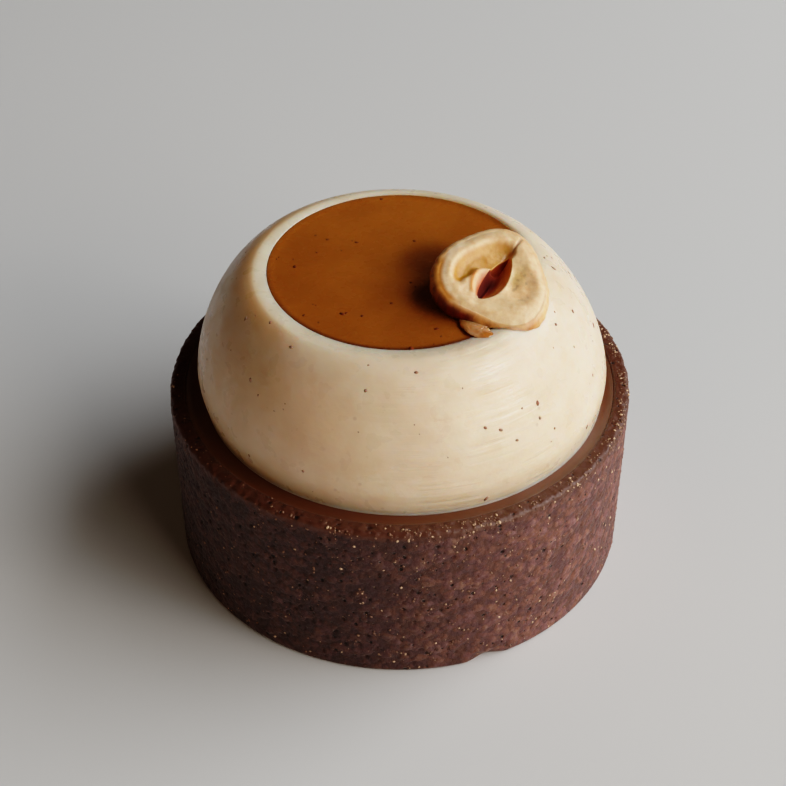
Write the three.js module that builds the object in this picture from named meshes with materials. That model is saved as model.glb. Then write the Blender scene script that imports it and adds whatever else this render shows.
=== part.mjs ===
// A cocoa shortcrust tartlet: a straight-sided shell filled level with soft chocolate, a moulded cream dome
// standing on the filling, caramel poured into the dome's dished top, and half a hazelnut pressed into it
// beside the lip.
// Millimetres, +Z up. The origin is the middle of the shell's underside, and the viewer's side is -Y.
import * as THREE from "three";
import { mergeVertices } from "three/addons/utils/BufferGeometryUtils.js";

// Driving dimensions.
const SHELL_RADIUS = 25; // a 50 mm ring
const SHELL_HEIGHT = 20; // the usual height of a tart ring
const SHELL_WALL = 1.7;
const SHELL_BASE = 2;
const RIM_ROUND = 0.55; // outer edge of the rim
const RIM_INNER_ROUND = 0.33;
const FOOT_ROUND = 0.35;

const FILLING_LEVEL = 19.5; // half a millimetre under the rim
const FILLING_CREEP = 0.25; // how far the filling climbs the wall
const FILLING_CREEP_REACH = 0.9; // how far in from the wall it starts to
const HIDDEN_GAP = 0.1; // between pieces that lie in one another

const CREAM_FOOT_RADIUS = 21.6;
const CREAM_FOOT_ROUND = 0.35;
const CREAM_WIDEST_RADIUS = 22;
const CREAM_WIDEST_LEVEL = 22.4;
const CREAM_CREST_RADIUS = 14.85; // top of the lip
const CREAM_CREST_LEVEL = 34.35;
const CREAM_SHOULDER = 1.56; // exponent of the dome's side: 2 is an ellipse, 1 a cone
const CREAM_LIP_BEND = 0.6; // how far from the crest to the dish the lip turns down, as a share
const CREAM_LIP_DROP = 0.06; // and how far it has come down there
const CREAM_FOOT_CENTRE = new THREE.Vector2(0.4, -0.05); // the dome was set down a little off centre
const CREAM_TOP_CENTRE = new THREE.Vector2(-0.42, -0.42); // and leans a little

const CARAMEL_RADIUS = 13.85;
const CARAMEL_LEVEL = 34;
const CARAMEL_CREEP = 0.12; // how far the caramel climbs the lip
const CARAMEL_CREEP_REACH = 1;
const DISH_CENTRE = new THREE.Vector2(-0.06, 0.18); // so the lip is wider at the front and left
const DISH_DEPTH = 3.2;
const DISH_SIDE = 0.7; // height of the steep part of the dish under the lip
const DISH_TUCK = 0.35; // how far that part leans in

const NUT_FACE_RADIUS = 5.8; // mean radius of the cut face
const NUT_FACE_WAVES = [
  { count: 2, height: 0.029, turn: -72 }, // longer one way than the other
  { count: 3, height: 0.083, turn: -51 }, // and flattened on three sides
  { count: 5, height: 0.018, turn: 0 },
]; // how far the face is from round: a share of its radius, and degrees round its plane
const NUT_GIRTH = 1.07; // the widest ring, as a share of the face
const NUT_GIRTH_DROP = 1.3; // how far it lies under the face
const NUT_DEPTH = 4.9; // from the cut face to the underside, which is pressed flat where it lies
const NUT_RIM = 0.94; // where the rounded edge meets the face, as a share of it
const NUT_GAP = 0.3; // between the nut and what it lies on
const NUT_FACE_CENTRE = new THREE.Vector3(9.53, -4.88, 36.8);
const NUT_FACE_NORMAL = new THREE.Vector3(0.144, -0.31, 0.94);
const NUT_TIP_ANGLE = 60; // degrees round the face: where the kernel's tip is, and the split in its rim

// How finely each piece is faceted.
const SHELL_COLUMNS = 108;
const SHELL_ROWS = 9;
const FILLING_COLUMNS = 72;
const CREAM_COLUMNS = 72;
const CREAM_ROWS = 12;
const NUT_COLUMNS = 44;

const ORIGIN = new THREE.Vector2(0, 0);

// Repeatable random numbers from 0 to 1.
function randomSource(seed) {
  let state = seed;
  return () => {
    state = (state + 0x6d2b79f5) | 0;
    let mixed = Math.imul(state ^ (state >>> 15), 1 | state);
    mixed = (mixed + Math.imul(mixed ^ (mixed >>> 7), 61 | mixed)) ^ mixed;
    return ((mixed ^ (mixed >>> 14)) >>> 0) / 4294967296;
  };
}

// Points of an arc in the plane of radius and height, from one angle to another in degrees.
function arc(radius, level, size, from, to, steps) {
  return Array.from({ length: steps + 1 }, (_, i) => {
    const angle = THREE.MathUtils.degToRad(from + ((to - from) * i) / steps);
    return new THREE.Vector2(radius + size * Math.cos(angle), level + size * Math.sin(angle));
  });
}

// The edge of a liquid's surface, from where it has climbed a wall to where it lies flat.
function creep(radius, level, climb, reach) {
  const steps = 3;
  return Array.from({ length: steps + 1 }, (_, i) => {
    const share = i / steps;
    return new THREE.Vector2(radius - reach * share, level + climb * (1 - share) ** 2);
  });
}

// A smooth bump: 1 at the middle, 0 from one width away.
function bump(distance, width) {
  const share = Math.min(1, Math.abs(distance) / width);
  return (1 - share * share) ** 2;
}

// The turned form of an outline, standing on +Z, with its doubled seam and poles merged.
// relief(column, row, angle, radius, level) may answer with a change of [radius, level],
// and centre(level, row) with the point that the outline turns round there.
function turned(outline, columns, relief, centre) {
  const lathe = new THREE.LatheGeometry(outline, columns);
  const place = lathe.getAttribute("position");
  for (let i = 0; i < place.count; i++) {
    const column = Math.floor(i / outline.length) % columns;
    const row = i % outline.length;
    const angle = (column / columns) * 2 * Math.PI;
    let { x: radius, y: level } = outline[row];
    if (relief && radius > 0) {
      const [out, up] = relief(column, row, angle, radius, level);
      radius += out;
      level += up;
    }
    const middle = centre ? centre(level, row) : ORIGIN;
    place.setXYZ(i, middle.x + radius * Math.cos(angle), middle.y + radius * Math.sin(angle), level);
  }
  return closed(lathe);
}

// The same geometry with only its positions, and vertices that share a place made one.
function closed(geometry) {
  for (const name of Object.keys(geometry.attributes)) {
    if (name !== "position") geometry.deleteAttribute(name);
  }
  const merged = mergeVertices(geometry, 1e-4);
  merged.computeVertexNormals();
  return merged;
}

// The shell: a cup with a crumbly outside. Its underside is flat, and its inside is plain, where the filling
// hides it. The foot has one small nick, and the rim's outer edge is uneven.
function shellGeometry() {
  const CRUMB = 0.13; // how far a crumb or pit stands out or in
  const RIM_CRUMB = 0.1;
  const NICK = { angle: -68, width: 6, depth: 0.65, height: 1.6 };
  const WAVE = { depth: 0.06, count: 3, turn: 0.6, climb: 0.4 }; // the wall's slow swell
  const inner = SHELL_RADIUS - SHELL_WALL;
  const wallFoot = FOOT_ROUND;
  const wallTop = SHELL_HEIGHT - RIM_ROUND;
  const outline = [
    new THREE.Vector2(0, 0),
    ...arc(SHELL_RADIUS - FOOT_ROUND, FOOT_ROUND, FOOT_ROUND, -90, 0, 2),
  ];
  const firstWallRow = outline.length - 1;
  for (let i = 1; i < SHELL_ROWS; i++) {
    outline.push(new THREE.Vector2(SHELL_RADIUS, wallFoot + ((wallTop - wallFoot) * i) / SHELL_ROWS));
  }
  outline.push(...arc(SHELL_RADIUS - RIM_ROUND, wallTop, RIM_ROUND, 0, 90, 3));
  outline.push(...arc(inner + RIM_INNER_ROUND, SHELL_HEIGHT - RIM_INNER_ROUND, RIM_INNER_ROUND, 90, 180, 2));
  const lastRimRow = outline.length - 1;
  outline.push(new THREE.Vector2(inner, SHELL_BASE));
  outline.push(new THREE.Vector2(0, SHELL_BASE));

  const random = randomSource(11);
  const crumbs = outline.map(() => Array.from({ length: SHELL_COLUMNS }, () => random() * 2 - 1));
  const relief = (column, row, angle, radius, level) => {
    if (row < firstWallRow - 1 || row >= lastRimRow) return [0, 0];
    const fromNick = THREE.MathUtils.radToDeg(angle) - (NICK.angle + 360);
    const nick = -NICK.depth * bump(fromNick, NICK.width) * bump(level, NICK.height);
    const wave = WAVE.depth * Math.sin(WAVE.count * angle + WAVE.turn) * Math.sin(level * WAVE.climb + angle);
    const crumb = crumbs[row][column];
    if (level <= wallFoot) return [nick + wave, 0];
    if (level > wallTop) return [(RIM_CRUMB * crumb) / 2, RIM_CRUMB * crumb];
    return [nick + wave + CRUMB * crumb, 0];
  };
  return turned(outline, SHELL_COLUMNS, relief);
}

// The filling: a flat-topped disc that fills the shell and climbs its wall a little.
function fillingGeometry() {
  const radius = SHELL_RADIUS - SHELL_WALL - HIDDEN_GAP;
  const foot = SHELL_BASE + HIDDEN_GAP;
  const outline = [
    new THREE.Vector2(0, foot),
    new THREE.Vector2(radius, foot),
    ...creep(radius, FILLING_LEVEL, FILLING_CREEP, FILLING_CREEP_REACH),
    new THREE.Vector2(0, FILLING_LEVEL),
  ];
  return turned(outline, FILLING_COLUMNS);
}

// The middle of the dome's side at a level: it leans a little.
function creamCentre(level) {
  const share = (level - FILLING_LEVEL) / (CREAM_CREST_LEVEL - FILLING_LEVEL);
  return CREAM_FOOT_CENTRE.clone().lerp(CREAM_TOP_CENTRE, share);
}

// The dished top of the dome, from the lip's inner edge down to the middle.
function dishOutline(gap) {
  const steps = 4;
  const side = CARAMEL_LEVEL - DISH_SIDE;
  const reach = CARAMEL_RADIUS - DISH_TUCK - gap;
  return Array.from({ length: steps + 1 }, (_, i) => {
    const share = 1 - i / steps;
    const depth = (DISH_DEPTH - DISH_SIDE) * (1 - share * share);
    return new THREE.Vector2(reach * share, side - depth + gap);
  });
}

// The cream: a dome that pulls in a little at its foot, with a rounded lip round the dish.
function creamGeometry() {
  const SWELL = { height: 0.08, count: 2, turn: 0.9, level: 28, reach: 7 }; // the side is not quite round
  const outline = [
    new THREE.Vector2(0, FILLING_LEVEL),
    new THREE.Vector2(CREAM_FOOT_RADIUS - CREAM_FOOT_ROUND, FILLING_LEVEL),
    new THREE.Vector2(CREAM_FOOT_RADIUS, FILLING_LEVEL + CREAM_FOOT_ROUND),
  ];
  const rise = CREAM_CREST_LEVEL - CREAM_WIDEST_LEVEL;
  const reach = CREAM_WIDEST_RADIUS - CREAM_CREST_RADIUS;
  const power = 2 / CREAM_SHOULDER;
  for (let i = 0; i <= CREAM_ROWS; i++) {
    const angle = (i / CREAM_ROWS) * (Math.PI / 2);
    outline.push(
      new THREE.Vector2(
        CREAM_CREST_RADIUS + reach * Math.cos(angle) ** power,
        CREAM_WIDEST_LEVEL + rise * Math.sin(angle) ** power,
      ),
    );
  }
  const lipRow = outline.length;
  const lipRadius = THREE.MathUtils.lerp(CREAM_CREST_RADIUS, CARAMEL_RADIUS, CREAM_LIP_BEND);
  outline.push(new THREE.Vector2(lipRadius, CREAM_CREST_LEVEL - CREAM_LIP_DROP));
  outline.push(new THREE.Vector2(CARAMEL_RADIUS, CARAMEL_LEVEL + CARAMEL_CREEP));
  outline.push(...dishOutline(0));
  const swell = (_column, _row, angle, radius, level) => {
    if (radius <= CREAM_CREST_RADIUS) return [0, 0];
    const around = Math.sin(SWELL.count * angle + SWELL.turn);
    return [SWELL.height * around * bump(level - SWELL.level, SWELL.reach), 0];
  };
  const centre = (level, row) => {
    if (row < lipRow) return creamCentre(level);
    return row === lipRow ? CREAM_TOP_CENTRE.clone().lerp(DISH_CENTRE, CREAM_LIP_BEND) : DISH_CENTRE;
  };
  return turned(outline, CREAM_COLUMNS, swell, centre);
}

// The caramel: a pool that fills the dish, flat, and drawn up a little where it meets the lip.
function caramelGeometry() {
  const edge = CARAMEL_RADIUS - HIDDEN_GAP;
  const outline = [
    ...dishOutline(HIDDEN_GAP).reverse(),
    ...creep(edge, CARAMEL_LEVEL, CARAMEL_CREEP, CARAMEL_CREEP_REACH),
    new THREE.Vector2(0, CARAMEL_LEVEL),
  ];
  return turned(outline, CREAM_COLUMNS, null, () => DISH_CENTRE);
}

// Level of the cream or caramel at a point seen from above.
function seatLevel(x, y) {
  const radius = Math.hypot(x - CREAM_TOP_CENTRE.x, y - CREAM_TOP_CENTRE.y);
  if (radius < CREAM_CREST_RADIUS) {
    const flatEdge = CARAMEL_RADIUS - CARAMEL_CREEP_REACH;
    const fromDish = Math.hypot(x - DISH_CENTRE.x, y - DISH_CENTRE.y);
    const share = THREE.MathUtils.smoothstep(fromDish, flatEdge, CREAM_CREST_RADIUS);
    return THREE.MathUtils.lerp(CARAMEL_LEVEL, CREAM_CREST_LEVEL, share);
  }
  const across = (radius - CREAM_CREST_RADIUS) / (CREAM_WIDEST_RADIUS - CREAM_CREST_RADIUS);
  if (across > 1) return FILLING_LEVEL;
  const angle = Math.acos(across ** (CREAM_SHOULDER / 2));
  const rise = CREAM_CREST_LEVEL - CREAM_WIDEST_LEVEL;
  return CREAM_WIDEST_LEVEL + rise * Math.sin(angle) ** (2 / CREAM_SHOULDER);
}

// Radius of the cut face at an angle round its own plane.
function nutRadius(angle) {
  const waves = NUT_FACE_WAVES.map(
    ({ count, height, turn }) => height * Math.cos(count * (angle - THREE.MathUtils.degToRad(turn))),
  );
  return NUT_FACE_RADIUS * waves.reduce((sum, wave) => sum + wave, 1);
}

// The cut face, from its rounded edge (0) to the brink of the hollow (1), and on down the hollow's wall (2).
// The kernel was empty in the middle, with a deep dip to the left of the hollow and a shallow one to its
// right, and its rim is split at the tip. Angles are from the tip, and left of it is positive.
function nutFacePoint(angle, step) {
  const HOLLOW = { length: 2.4, left: 0.85, right: 1.05, depth: 1.2, along: -0.5, across: 0.05 };
  const LEFT_DIP = { depth: 0.7, middle: 84, width: 75 };
  const RIGHT_DIP = { depth: 0.45, middle: -77, width: 80 };
  const SPLIT = { width: 10, depth: 0.3 };
  const tip = THREE.MathUtils.degToRad(NUT_TIP_ANGLE);
  const inward = Math.min(1, step);
  const down = Math.max(0, step - 1);
  const narrowing = 1 - down * down;
  const side = Math.sin(angle);
  const along = HOLLOW.along + HOLLOW.length * Math.cos(angle) * narrowing;
  const across = HOLLOW.across + (side > 0 ? HOLLOW.left : HOLLOW.right) * side * narrowing;
  const brink = new THREE.Vector2(along, across).rotateAround(ORIGIN, tip);
  const edge = new THREE.Vector2(nutRadius(angle + tip) * NUT_RIM, 0).rotateAround(ORIGIN, angle + tip);
  const fromTip = THREE.MathUtils.radToDeg(Math.atan2(Math.sin(angle), Math.cos(angle)));
  const split = SPLIT.depth * bump(fromTip, SPLIT.width) * (1 - down);
  const dips = [LEFT_DIP, RIGHT_DIP].map(({ depth, middle, width }) => depth * bump(fromTip - middle, width));
  const dip = (dips[0] + dips[1]) * Math.sin(inward * Math.PI) ** 2;
  const slope = 0.2 * inward;
  const flat = edge.lerp(brink, inward);
  const hollow = HOLLOW.depth * Math.sin((down * Math.PI) / 2);
  return new THREE.Vector3(flat.x, flat.y, -dip - slope - split - hollow);
}

// The nut: rings of points from the middle of its underside, round its edge, over the cut face and down
// into the hollow. Set down beside the lip, its hidden underside is kept clear of the cream and the caramel.
function nutGeometry() {
  const UNDERSIDE_RINGS = 7;
  const EDGE_RINGS = 3;
  const FACE_RINGS = 5;
  const WALL_RINGS = 4;
  const quarter = Math.PI / 2;
  const tip = THREE.MathUtils.degToRad(NUT_TIP_ANGLE);
  const rings = [];
  for (let i = 0; i <= UNDERSIDE_RINGS; i++) {
    const angle = (i / UNDERSIDE_RINGS) * quarter;
    const drop = NUT_GIRTH_DROP + (NUT_DEPTH - NUT_GIRTH_DROP) * Math.cos(angle);
    rings.push({ share: NUT_GIRTH * Math.sin(angle), drop });
  }
  for (let i = 1; i < EDGE_RINGS; i++) {
    const angle = (i / EDGE_RINGS) * quarter;
    const share = NUT_RIM + (NUT_GIRTH - NUT_RIM) * Math.cos(angle);
    rings.push({ share, drop: NUT_GIRTH_DROP * (1 - Math.sin(angle)) });
  }
  for (let i = 0; i <= FACE_RINGS; i++) rings.push({ step: i / FACE_RINGS });
  for (let i = 1; i <= WALL_RINGS; i++) rings.push({ step: 1 + i / WALL_RINGS });
  const shape = rings.map((ring, i) => new THREE.Vector2(i === 0 || ring.step === 2 ? 0 : 1, i));
  const nut = new THREE.LatheGeometry(shape, NUT_COLUMNS);
  const turn = new THREE.Quaternion().setFromUnitVectors(
    new THREE.Vector3(0, 0, 1),
    NUT_FACE_NORMAL.clone().normalize(),
  );
  const place = nut.getAttribute("position");
  for (let i = 0; i < place.count; i++) {
    const ring = rings[i % rings.length];
    const angle = ((Math.floor(i / rings.length) % NUT_COLUMNS) / NUT_COLUMNS) * 2 * Math.PI;
    const point = new THREE.Vector3(0, 0, -ring.drop);
    if (ring.step === undefined) {
      const radius = nutRadius(angle + tip) * ring.share;
      point.x = radius * Math.cos(angle + tip);
      point.y = radius * Math.sin(angle + tip);
    } else {
      point.copy(nutFacePoint(angle, ring.step));
    }
    point.applyQuaternion(turn).add(NUT_FACE_CENTRE);
    point.z = Math.max(point.z, seatLevel(point.x, point.y) + NUT_GAP);
    place.setXYZ(i, point.x, point.y, point.z);
  }
  return closed(nut);
}

// A named piece in its own colour.
function piece(name, geometry, color, roughness) {
  const material = new THREE.MeshStandardMaterial({ color, roughness, metalness: 0 });
  const mesh = new THREE.Mesh(geometry, material);
  mesh.name = name;
  return mesh;
}

const tartlet = new THREE.Group();
tartlet.add(piece("crust", shellGeometry(), 0x4a2c24, 0.9));
tartlet.add(piece("filling", fillingGeometry(), 0x6a3a22, 0.45));
tartlet.add(piece("cream", creamGeometry(), 0xe6d3b3, 0.5));
tartlet.add(piece("caramel", caramelGeometry(), 0xa5611c, 0.2));
tartlet.add(piece("hazelnut", nutGeometry(), 0xe0bd84, 0.55));

export default tartlet;
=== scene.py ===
"""Dresses the tartlet's solids: sandy cocoa crust, moulded cream, set caramel and half a hazelnut.

Laid out as an add-on with one operator for each piece or group of like pieces, and run as a script.
Metres, in the solids' own frame: +Z up, -Y towards the viewer, the origin in the middle of the
crust's underside.
"""

import math
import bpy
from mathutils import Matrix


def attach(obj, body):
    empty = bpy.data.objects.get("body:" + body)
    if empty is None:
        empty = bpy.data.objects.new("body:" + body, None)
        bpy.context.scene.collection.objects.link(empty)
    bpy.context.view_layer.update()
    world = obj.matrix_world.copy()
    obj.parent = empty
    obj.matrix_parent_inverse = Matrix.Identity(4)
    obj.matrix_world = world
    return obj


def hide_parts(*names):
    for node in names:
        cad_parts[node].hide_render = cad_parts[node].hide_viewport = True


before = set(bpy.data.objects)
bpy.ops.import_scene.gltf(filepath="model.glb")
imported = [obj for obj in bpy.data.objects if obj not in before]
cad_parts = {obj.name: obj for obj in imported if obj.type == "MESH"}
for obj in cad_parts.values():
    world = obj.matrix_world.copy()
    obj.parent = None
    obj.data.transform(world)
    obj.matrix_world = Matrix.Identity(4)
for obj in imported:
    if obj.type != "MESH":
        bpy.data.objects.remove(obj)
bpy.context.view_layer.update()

from types import SimpleNamespace

import bmesh
import bpy
from bpy.props import FloatProperty, FloatVectorProperty, IntProperty, PointerProperty
from mathutils import Matrix, Vector, noise

bl_info = {
    "name": "Caramel Dome Tartlet",
    "version": (1, 0, 0),
    "blender": (4, 5, 0),
    "location": "View3D > Sidebar > Tartlet",
    "description": "A cocoa crust tartlet with a cream dome, a caramel pool and half a hazelnut",
    "category": "Add Mesh",
}

MM = 0.001
BODY = "root"
MOST_TRIANGLES = 200_000


# ---------------------------------------------------------------- sizes and colours

def length(name, description, millimetres):
    return FloatProperty(
        name=name,
        description=description,
        default=millimetres * MM,
        min=0.0,
        precision=5,
        unit="LENGTH",
        subtype="DISTANCE",
    )


def columns(name, description, count, most):
    return IntProperty(name=name, description=description, default=count, min=24, max=most)


def colour(name, description, red, green, blue):
    return FloatVectorProperty(
        name=name,
        description=description,
        default=(red, green, blue),
        min=0.0,
        max=1.0,
        size=3,
        subtype="COLOR",
    )


class TartletSizes(bpy.types.PropertyGroup):
    shell_radius: length("Crust radius", "Outside radius of the crust", 25.0)
    shell_height: length("Crust height", "From the table to the rim", 20.0)
    shell_wall: length("Crust wall", "Thickness of the side", 1.7)
    shell_base: length("Crust base", "Thickness of the bottom", 2.0)
    grain_depth: length("Grain depth", "How far the crust's grains stand out", 0.10)
    pit_depth: length("Pit depth", "Depth of the small holes in the crust", 0.3)
    filling_level: length("Filling level", "Height of the filling's surface", 19.5)
    filling_creep: length("Filling creep", "How far the filling climbs the wall", 0.25)
    cream_foot: length("Cream foot", "Radius of the dome where it stands on the filling", 21.6)
    cream_widest: length("Cream widest", "Largest radius of the dome", 22.0)
    cream_crest: length("Cream crest", "Radius of the top of the dome's lip", 14.85)
    cream_top: length("Cream top", "Height of the dome's lip", 34.35)
    streak_depth: length("Streak depth", "Height of the marks that the mould left", 0.035)
    caramel_radius: length("Caramel radius", "Radius of the caramel pool", 13.85)
    caramel_level: length("Caramel level", "Height of the caramel's surface", 34.0)
    caramel_creep: length("Caramel creep", "How far the caramel climbs the lip", 0.12)
    nut_face: length("Nut face", "Mean radius of the hazelnut's cut face", 5.8)
    nut_depth: length("Nut depth", "From the cut face to the underside", 4.9)
    crust_columns: columns("Crust columns", "Faces round the crust", 700, 900)
    smooth_columns: columns("Smooth columns", "Faces round the cream, caramel and filling", 320, 720)


class TartletColours(bpy.types.PropertyGroup):
    crust_dark: colour("Crust, dark", "The darkest dough", 0.098, 0.0355, 0.028)
    crust_mid: colour("Crust", "Most of the crust's grains", 0.164, 0.060, 0.046)
    crust_light: colour("Crust, light", "The crust's palest grains", 0.235, 0.114, 0.091)
    pinhole: colour("Pinhole", "Inside the crust's small holes", 0.008, 0.003, 0.0025)
    crust_side_shade: colour("Crust, side shade", "Darkens the crust's left side", 0.37, 0.35, 0.36)
    rim: colour("Rim", "The rim, baked smoother", 0.092, 0.028, 0.013)
    crumb_dark: colour("Crumbs, dark", "The darkest crumbs", 0.13, 0.060, 0.036)
    crumb_brown: colour("Crumbs", "Most of the crumbs", 0.26, 0.135, 0.080)
    crumb_pale: colour("Crumbs, pale", "Pale crumbs and sugar on the crust", 0.62, 0.42, 0.27)
    filling: colour("Filling", "The chocolate", 0.155, 0.046, 0.019)
    cream: colour("Cream", "The moulded dome", 0.755, 0.625, 0.47)
    cream_shade: colour("Cream, deeper", "Slight clouds in the cream", 0.69, 0.53, 0.365)
    cream_speck: colour("Cream speck", "Vanilla seeds under the surface", 0.40, 0.25, 0.17)
    cream_shaded_side: colour("Cream, warm side", "Multiplies the cream's colour on its left", 0.84, 0.62, 0.44)
    cream_lip_glow: colour("Cream, golden edge", "Just outside the lip, on the left", 0.64, 0.36, 0.14)
    caramel: colour("Caramel", "The caramel", 0.50, 0.16, 0.022)
    caramel_deep: colour("Caramel, deep", "The caramel where it lies thicker", 0.30, 0.083, 0.0100)
    caramel_nut_shadow: colour("Caramel, nut shadow", "The caramel beside the nut", 0.075, 0.018, 0.004)
    caramel_edge_shade: colour("Caramel edge", "Round the pool, against the lip", 0.09, 0.018, 0.003)
    bead: colour("Bead", "The wet bead beside the nut", 0.46, 0.155, 0.03)
    bead_milky: colour("Bead, milky", "Where cream is mixed into it", 0.58, 0.30, 0.14)
    fleck: colour("Fleck", "Vanilla seeds in the cream", 0.42, 0.27, 0.19)
    fleck_red: colour("Fleck, red", "The redder of them", 0.42, 0.19, 0.125)
    caramel_speck: colour("Caramel speck", "Specks in the caramel", 0.15, 0.033, 0.009)
    caramel_speck_red: colour("Caramel speck, red", "The redder of them", 0.24, 0.05, 0.013)
    nut_flesh: colour("Nut flesh", "The kernel's cut face", 0.76, 0.54, 0.31)
    nut_dip: colour("Nut dip", "The deep dip on the left of the cut face", 0.52, 0.24, 0.018)
    nut_shallow: colour("Nut shallow", "The shallow dip on its right", 0.86, 0.57, 0.31)
    nut_olive: colour("Nut olive", "The shallow dip beside the hollow", 0.54, 0.35, 0.11)
    nut_rim_light: colour("Nut rim", "The palest part, at the edge of the cut face", 0.86, 0.68, 0.46)
    nut_lip: colour("Nut lip", "The pale bevel beside the hollow", 0.68, 0.38, 0.24)
    nut_fold: colour("Nut fold", "Thin translucent edges of the hollow", 0.60, 0.22, 0.05)
    nut_seam: colour("Nut seam", "The line along the bevel's outer edge", 0.76, 0.29, 0.045)
    nut_crease: colour("Nut crease", "The line from the hollow to the kernel's tip", 0.26, 0.095, 0.03)
    nut_hollow: colour("Nut hollow", "Inside the kernel", 0.42, 0.055, 0.002)
    nut_hollow_shade: colour("Nut hollow, darkest", "The hollow's left wall and bottom", 0.125, 0.008, 0.0005)
    nut_glow: colour("Nut glow", "The hollow's right wall, lit from behind", 0.90, 0.38, 0.10)
    nut_tan: colour("Nut edge", "Below the rim, where the skin begins", 0.60, 0.25, 0.055)
    nut_skin_and_shade: colour("Nut skin", "The thin brown skin", 0.19, 0.017, 0.003)
    floor: colour("Floor", "The plain table top", 0.66, 0.655, 0.65)


# ---------------------------------------------------------------- building blocks

class Wiring:
    """Adds nodes to a tree and joins them. An input that is given a socket is linked to it."""

    def __init__(self, tree):
        self.tree = tree

    def put(self, socket, value):
        if isinstance(value, bpy.types.NodeSocket):
            self.tree.links.new(value, socket)
        elif socket.type == "RGBA" and len(value) == 3:
            socket.default_value = (*value, 1.0)
        else:
            socket.default_value = value

    def put_all(self, node, inputs):
        for key, value in inputs.items():
            self.put(node.inputs[key], value)

    def add(self, kind, inputs=None, **settings):
        node = self.tree.nodes.new(kind)
        for name, value in settings.items():
            setattr(node, name, value)
        self.put_all(node, inputs or {})
        return node

    def math(self, operation, *values, clamp=False):
        inputs = dict(enumerate(values))
        return self.add("ShaderNodeMath", inputs, operation=operation, use_clamp=clamp).outputs[0]

    def plus(self, first, second, clamp=False):
        return self.math("ADD", first, second, clamp=clamp)

    def minus(self, first, second, clamp=False):
        return self.math("SUBTRACT", first, second, clamp=clamp)

    def times(self, first, second):
        return self.math("MULTIPLY", first, second)

    def vector(self, operation, *values, output=0):
        inputs = dict(enumerate(values))
        return self.add("ShaderNodeVectorMath", inputs, operation=operation).outputs[output]

    def stretched(self, place, *factors):
        return self.vector("MULTIPLY", place, factors)

    def level(self, place):
        """The place with its height taken as 0."""
        return self.stretched(place, 1.0, 1.0, 0.0)

    def span(self, vector):
        """How long a vector is."""
        return self.vector("LENGTH", vector, output=1)

    def towards(self, direction, place):
        """How far a place lies in a direction."""
        return self.vector("DOT_PRODUCT", place, direction, output=1)

    def scaled(self, vector, amount):
        return self.add("ShaderNodeVectorMath", {0: vector, "Scale": amount}, operation="SCALE").outputs[0]

    def height(self, place):
        return self.add("ShaderNodeSeparateXYZ", {"Vector": place}).outputs["Z"]

    def along(self, axis, amount):
        """A vector of a length along one axis."""
        return self.add("ShaderNodeCombineXYZ", {axis: amount}).outputs[0]

    def ramp(self, value, low, high, out_low=0.0, out_high=1.0, kind="SMOOTHSTEP"):
        """Goes from out_low to out_high as the value goes from low to high, eased at both ends."""
        inputs = dict(enumerate((value, low, high, out_low, out_high)))
        return self.add("ShaderNodeMapRange", inputs, interpolation_type=kind).outputs[0]

    def mix(self, share, first, second, blend="MIX"):
        inputs = {0: share, 6: first, 7: second}
        return self.add("ShaderNodeMix", inputs, data_type="RGBA", blend_type=blend).outputs[2]

    def tinted(self, first, second):
        """A colour multiplied by another."""
        return self.mix(1.0, first, second, "MULTIPLY")

    def between(self, share, first, second):
        """A vector part of the way from one to another."""
        inputs = {0: share, 4: first, 5: second}
        return self.add("ShaderNodeMix", inputs, data_type="VECTOR").outputs[1]

    def noise(self, place, size, detail=2.0, roughness=0.5, distortion=0.0):
        """Soft noise about 0.5, in lumps of the given size."""
        inputs = {
            "Vector": place,
            "Scale": self.math("DIVIDE", 1.0, size) if isinstance(size, bpy.types.NodeSocket) else 1 / size,
            "Detail": detail,
            "Roughness": roughness,
            "Distortion": distortion,
        }
        return self.add("ShaderNodeTexNoise", inputs).outputs[0]

    def uneven(self, place, size, detail=2.0):
        """Soft noise about 0."""
        return self.minus(self.noise(place, size, detail), 0.5)

    def stirred(self, place, size, reach):
        """The place pushed about by noise, which makes what is drawn there uneven."""
        inputs = {"Vector": place, "Scale": 1 / size, "Detail": 2.0}
        swirl = self.add("ShaderNodeTexNoise", inputs).outputs["Color"]
        push = self.vector("SUBTRACT", swirl, (0.5, 0.5, 0.5))
        return self.vector("ADD", place, self.stretched(push, 2 * reach, 2 * reach, 2 * reach))

    def cells(self, place, size):
        """Distance from the nearest of many scattered points, and a random number for that point."""
        node = self.add("ShaderNodeTexVoronoi", {"Vector": place, "Scale": 1 / size})
        chance = self.add("ShaderNodeSeparateXYZ", {"Vector": node.outputs["Color"]}).outputs[0]
        return node.outputs["Distance"], chance

    def dots(self, place, size, width, share):
        """1 in the middle of dots of a width, in a share of the cells of a size, and 0 between them."""
        distance, chance = self.cells(place, size)
        dot = self.ramp(distance, width / size / 2, width / size / 5)
        return self.times(dot, self.math("LESS_THAN", chance, share))


class Finish(Wiring):
    """A new material: its shader, and the place that is shaded."""

    def __init__(self, name):
        self.material = bpy.data.materials.new(name)
        self.material.use_nodes = True
        super().__init__(self.material.node_tree)
        self.tree.nodes.clear()
        self.shader = self.add("ShaderNodeBsdfPrincipled")
        self.add("ShaderNodeOutputMaterial", {"Surface": self.shader.outputs[0]})
        self.place = self.add("ShaderNodeTexCoord").outputs["Object"]

    def attribute(self, name, output="Fac"):
        return self.add("ShaderNodeAttribute", attribute_name=name).outputs[output]

    def shade(self, inputs):
        self.put_all(self.shader, inputs)

    def bump(self, height, distance, strength=1.0):
        inputs = {"Height": height, "Distance": distance, "Strength": strength}
        self.put(self.shader.inputs["Normal"], self.add("ShaderNodeBump", inputs).outputs[0])


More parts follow.
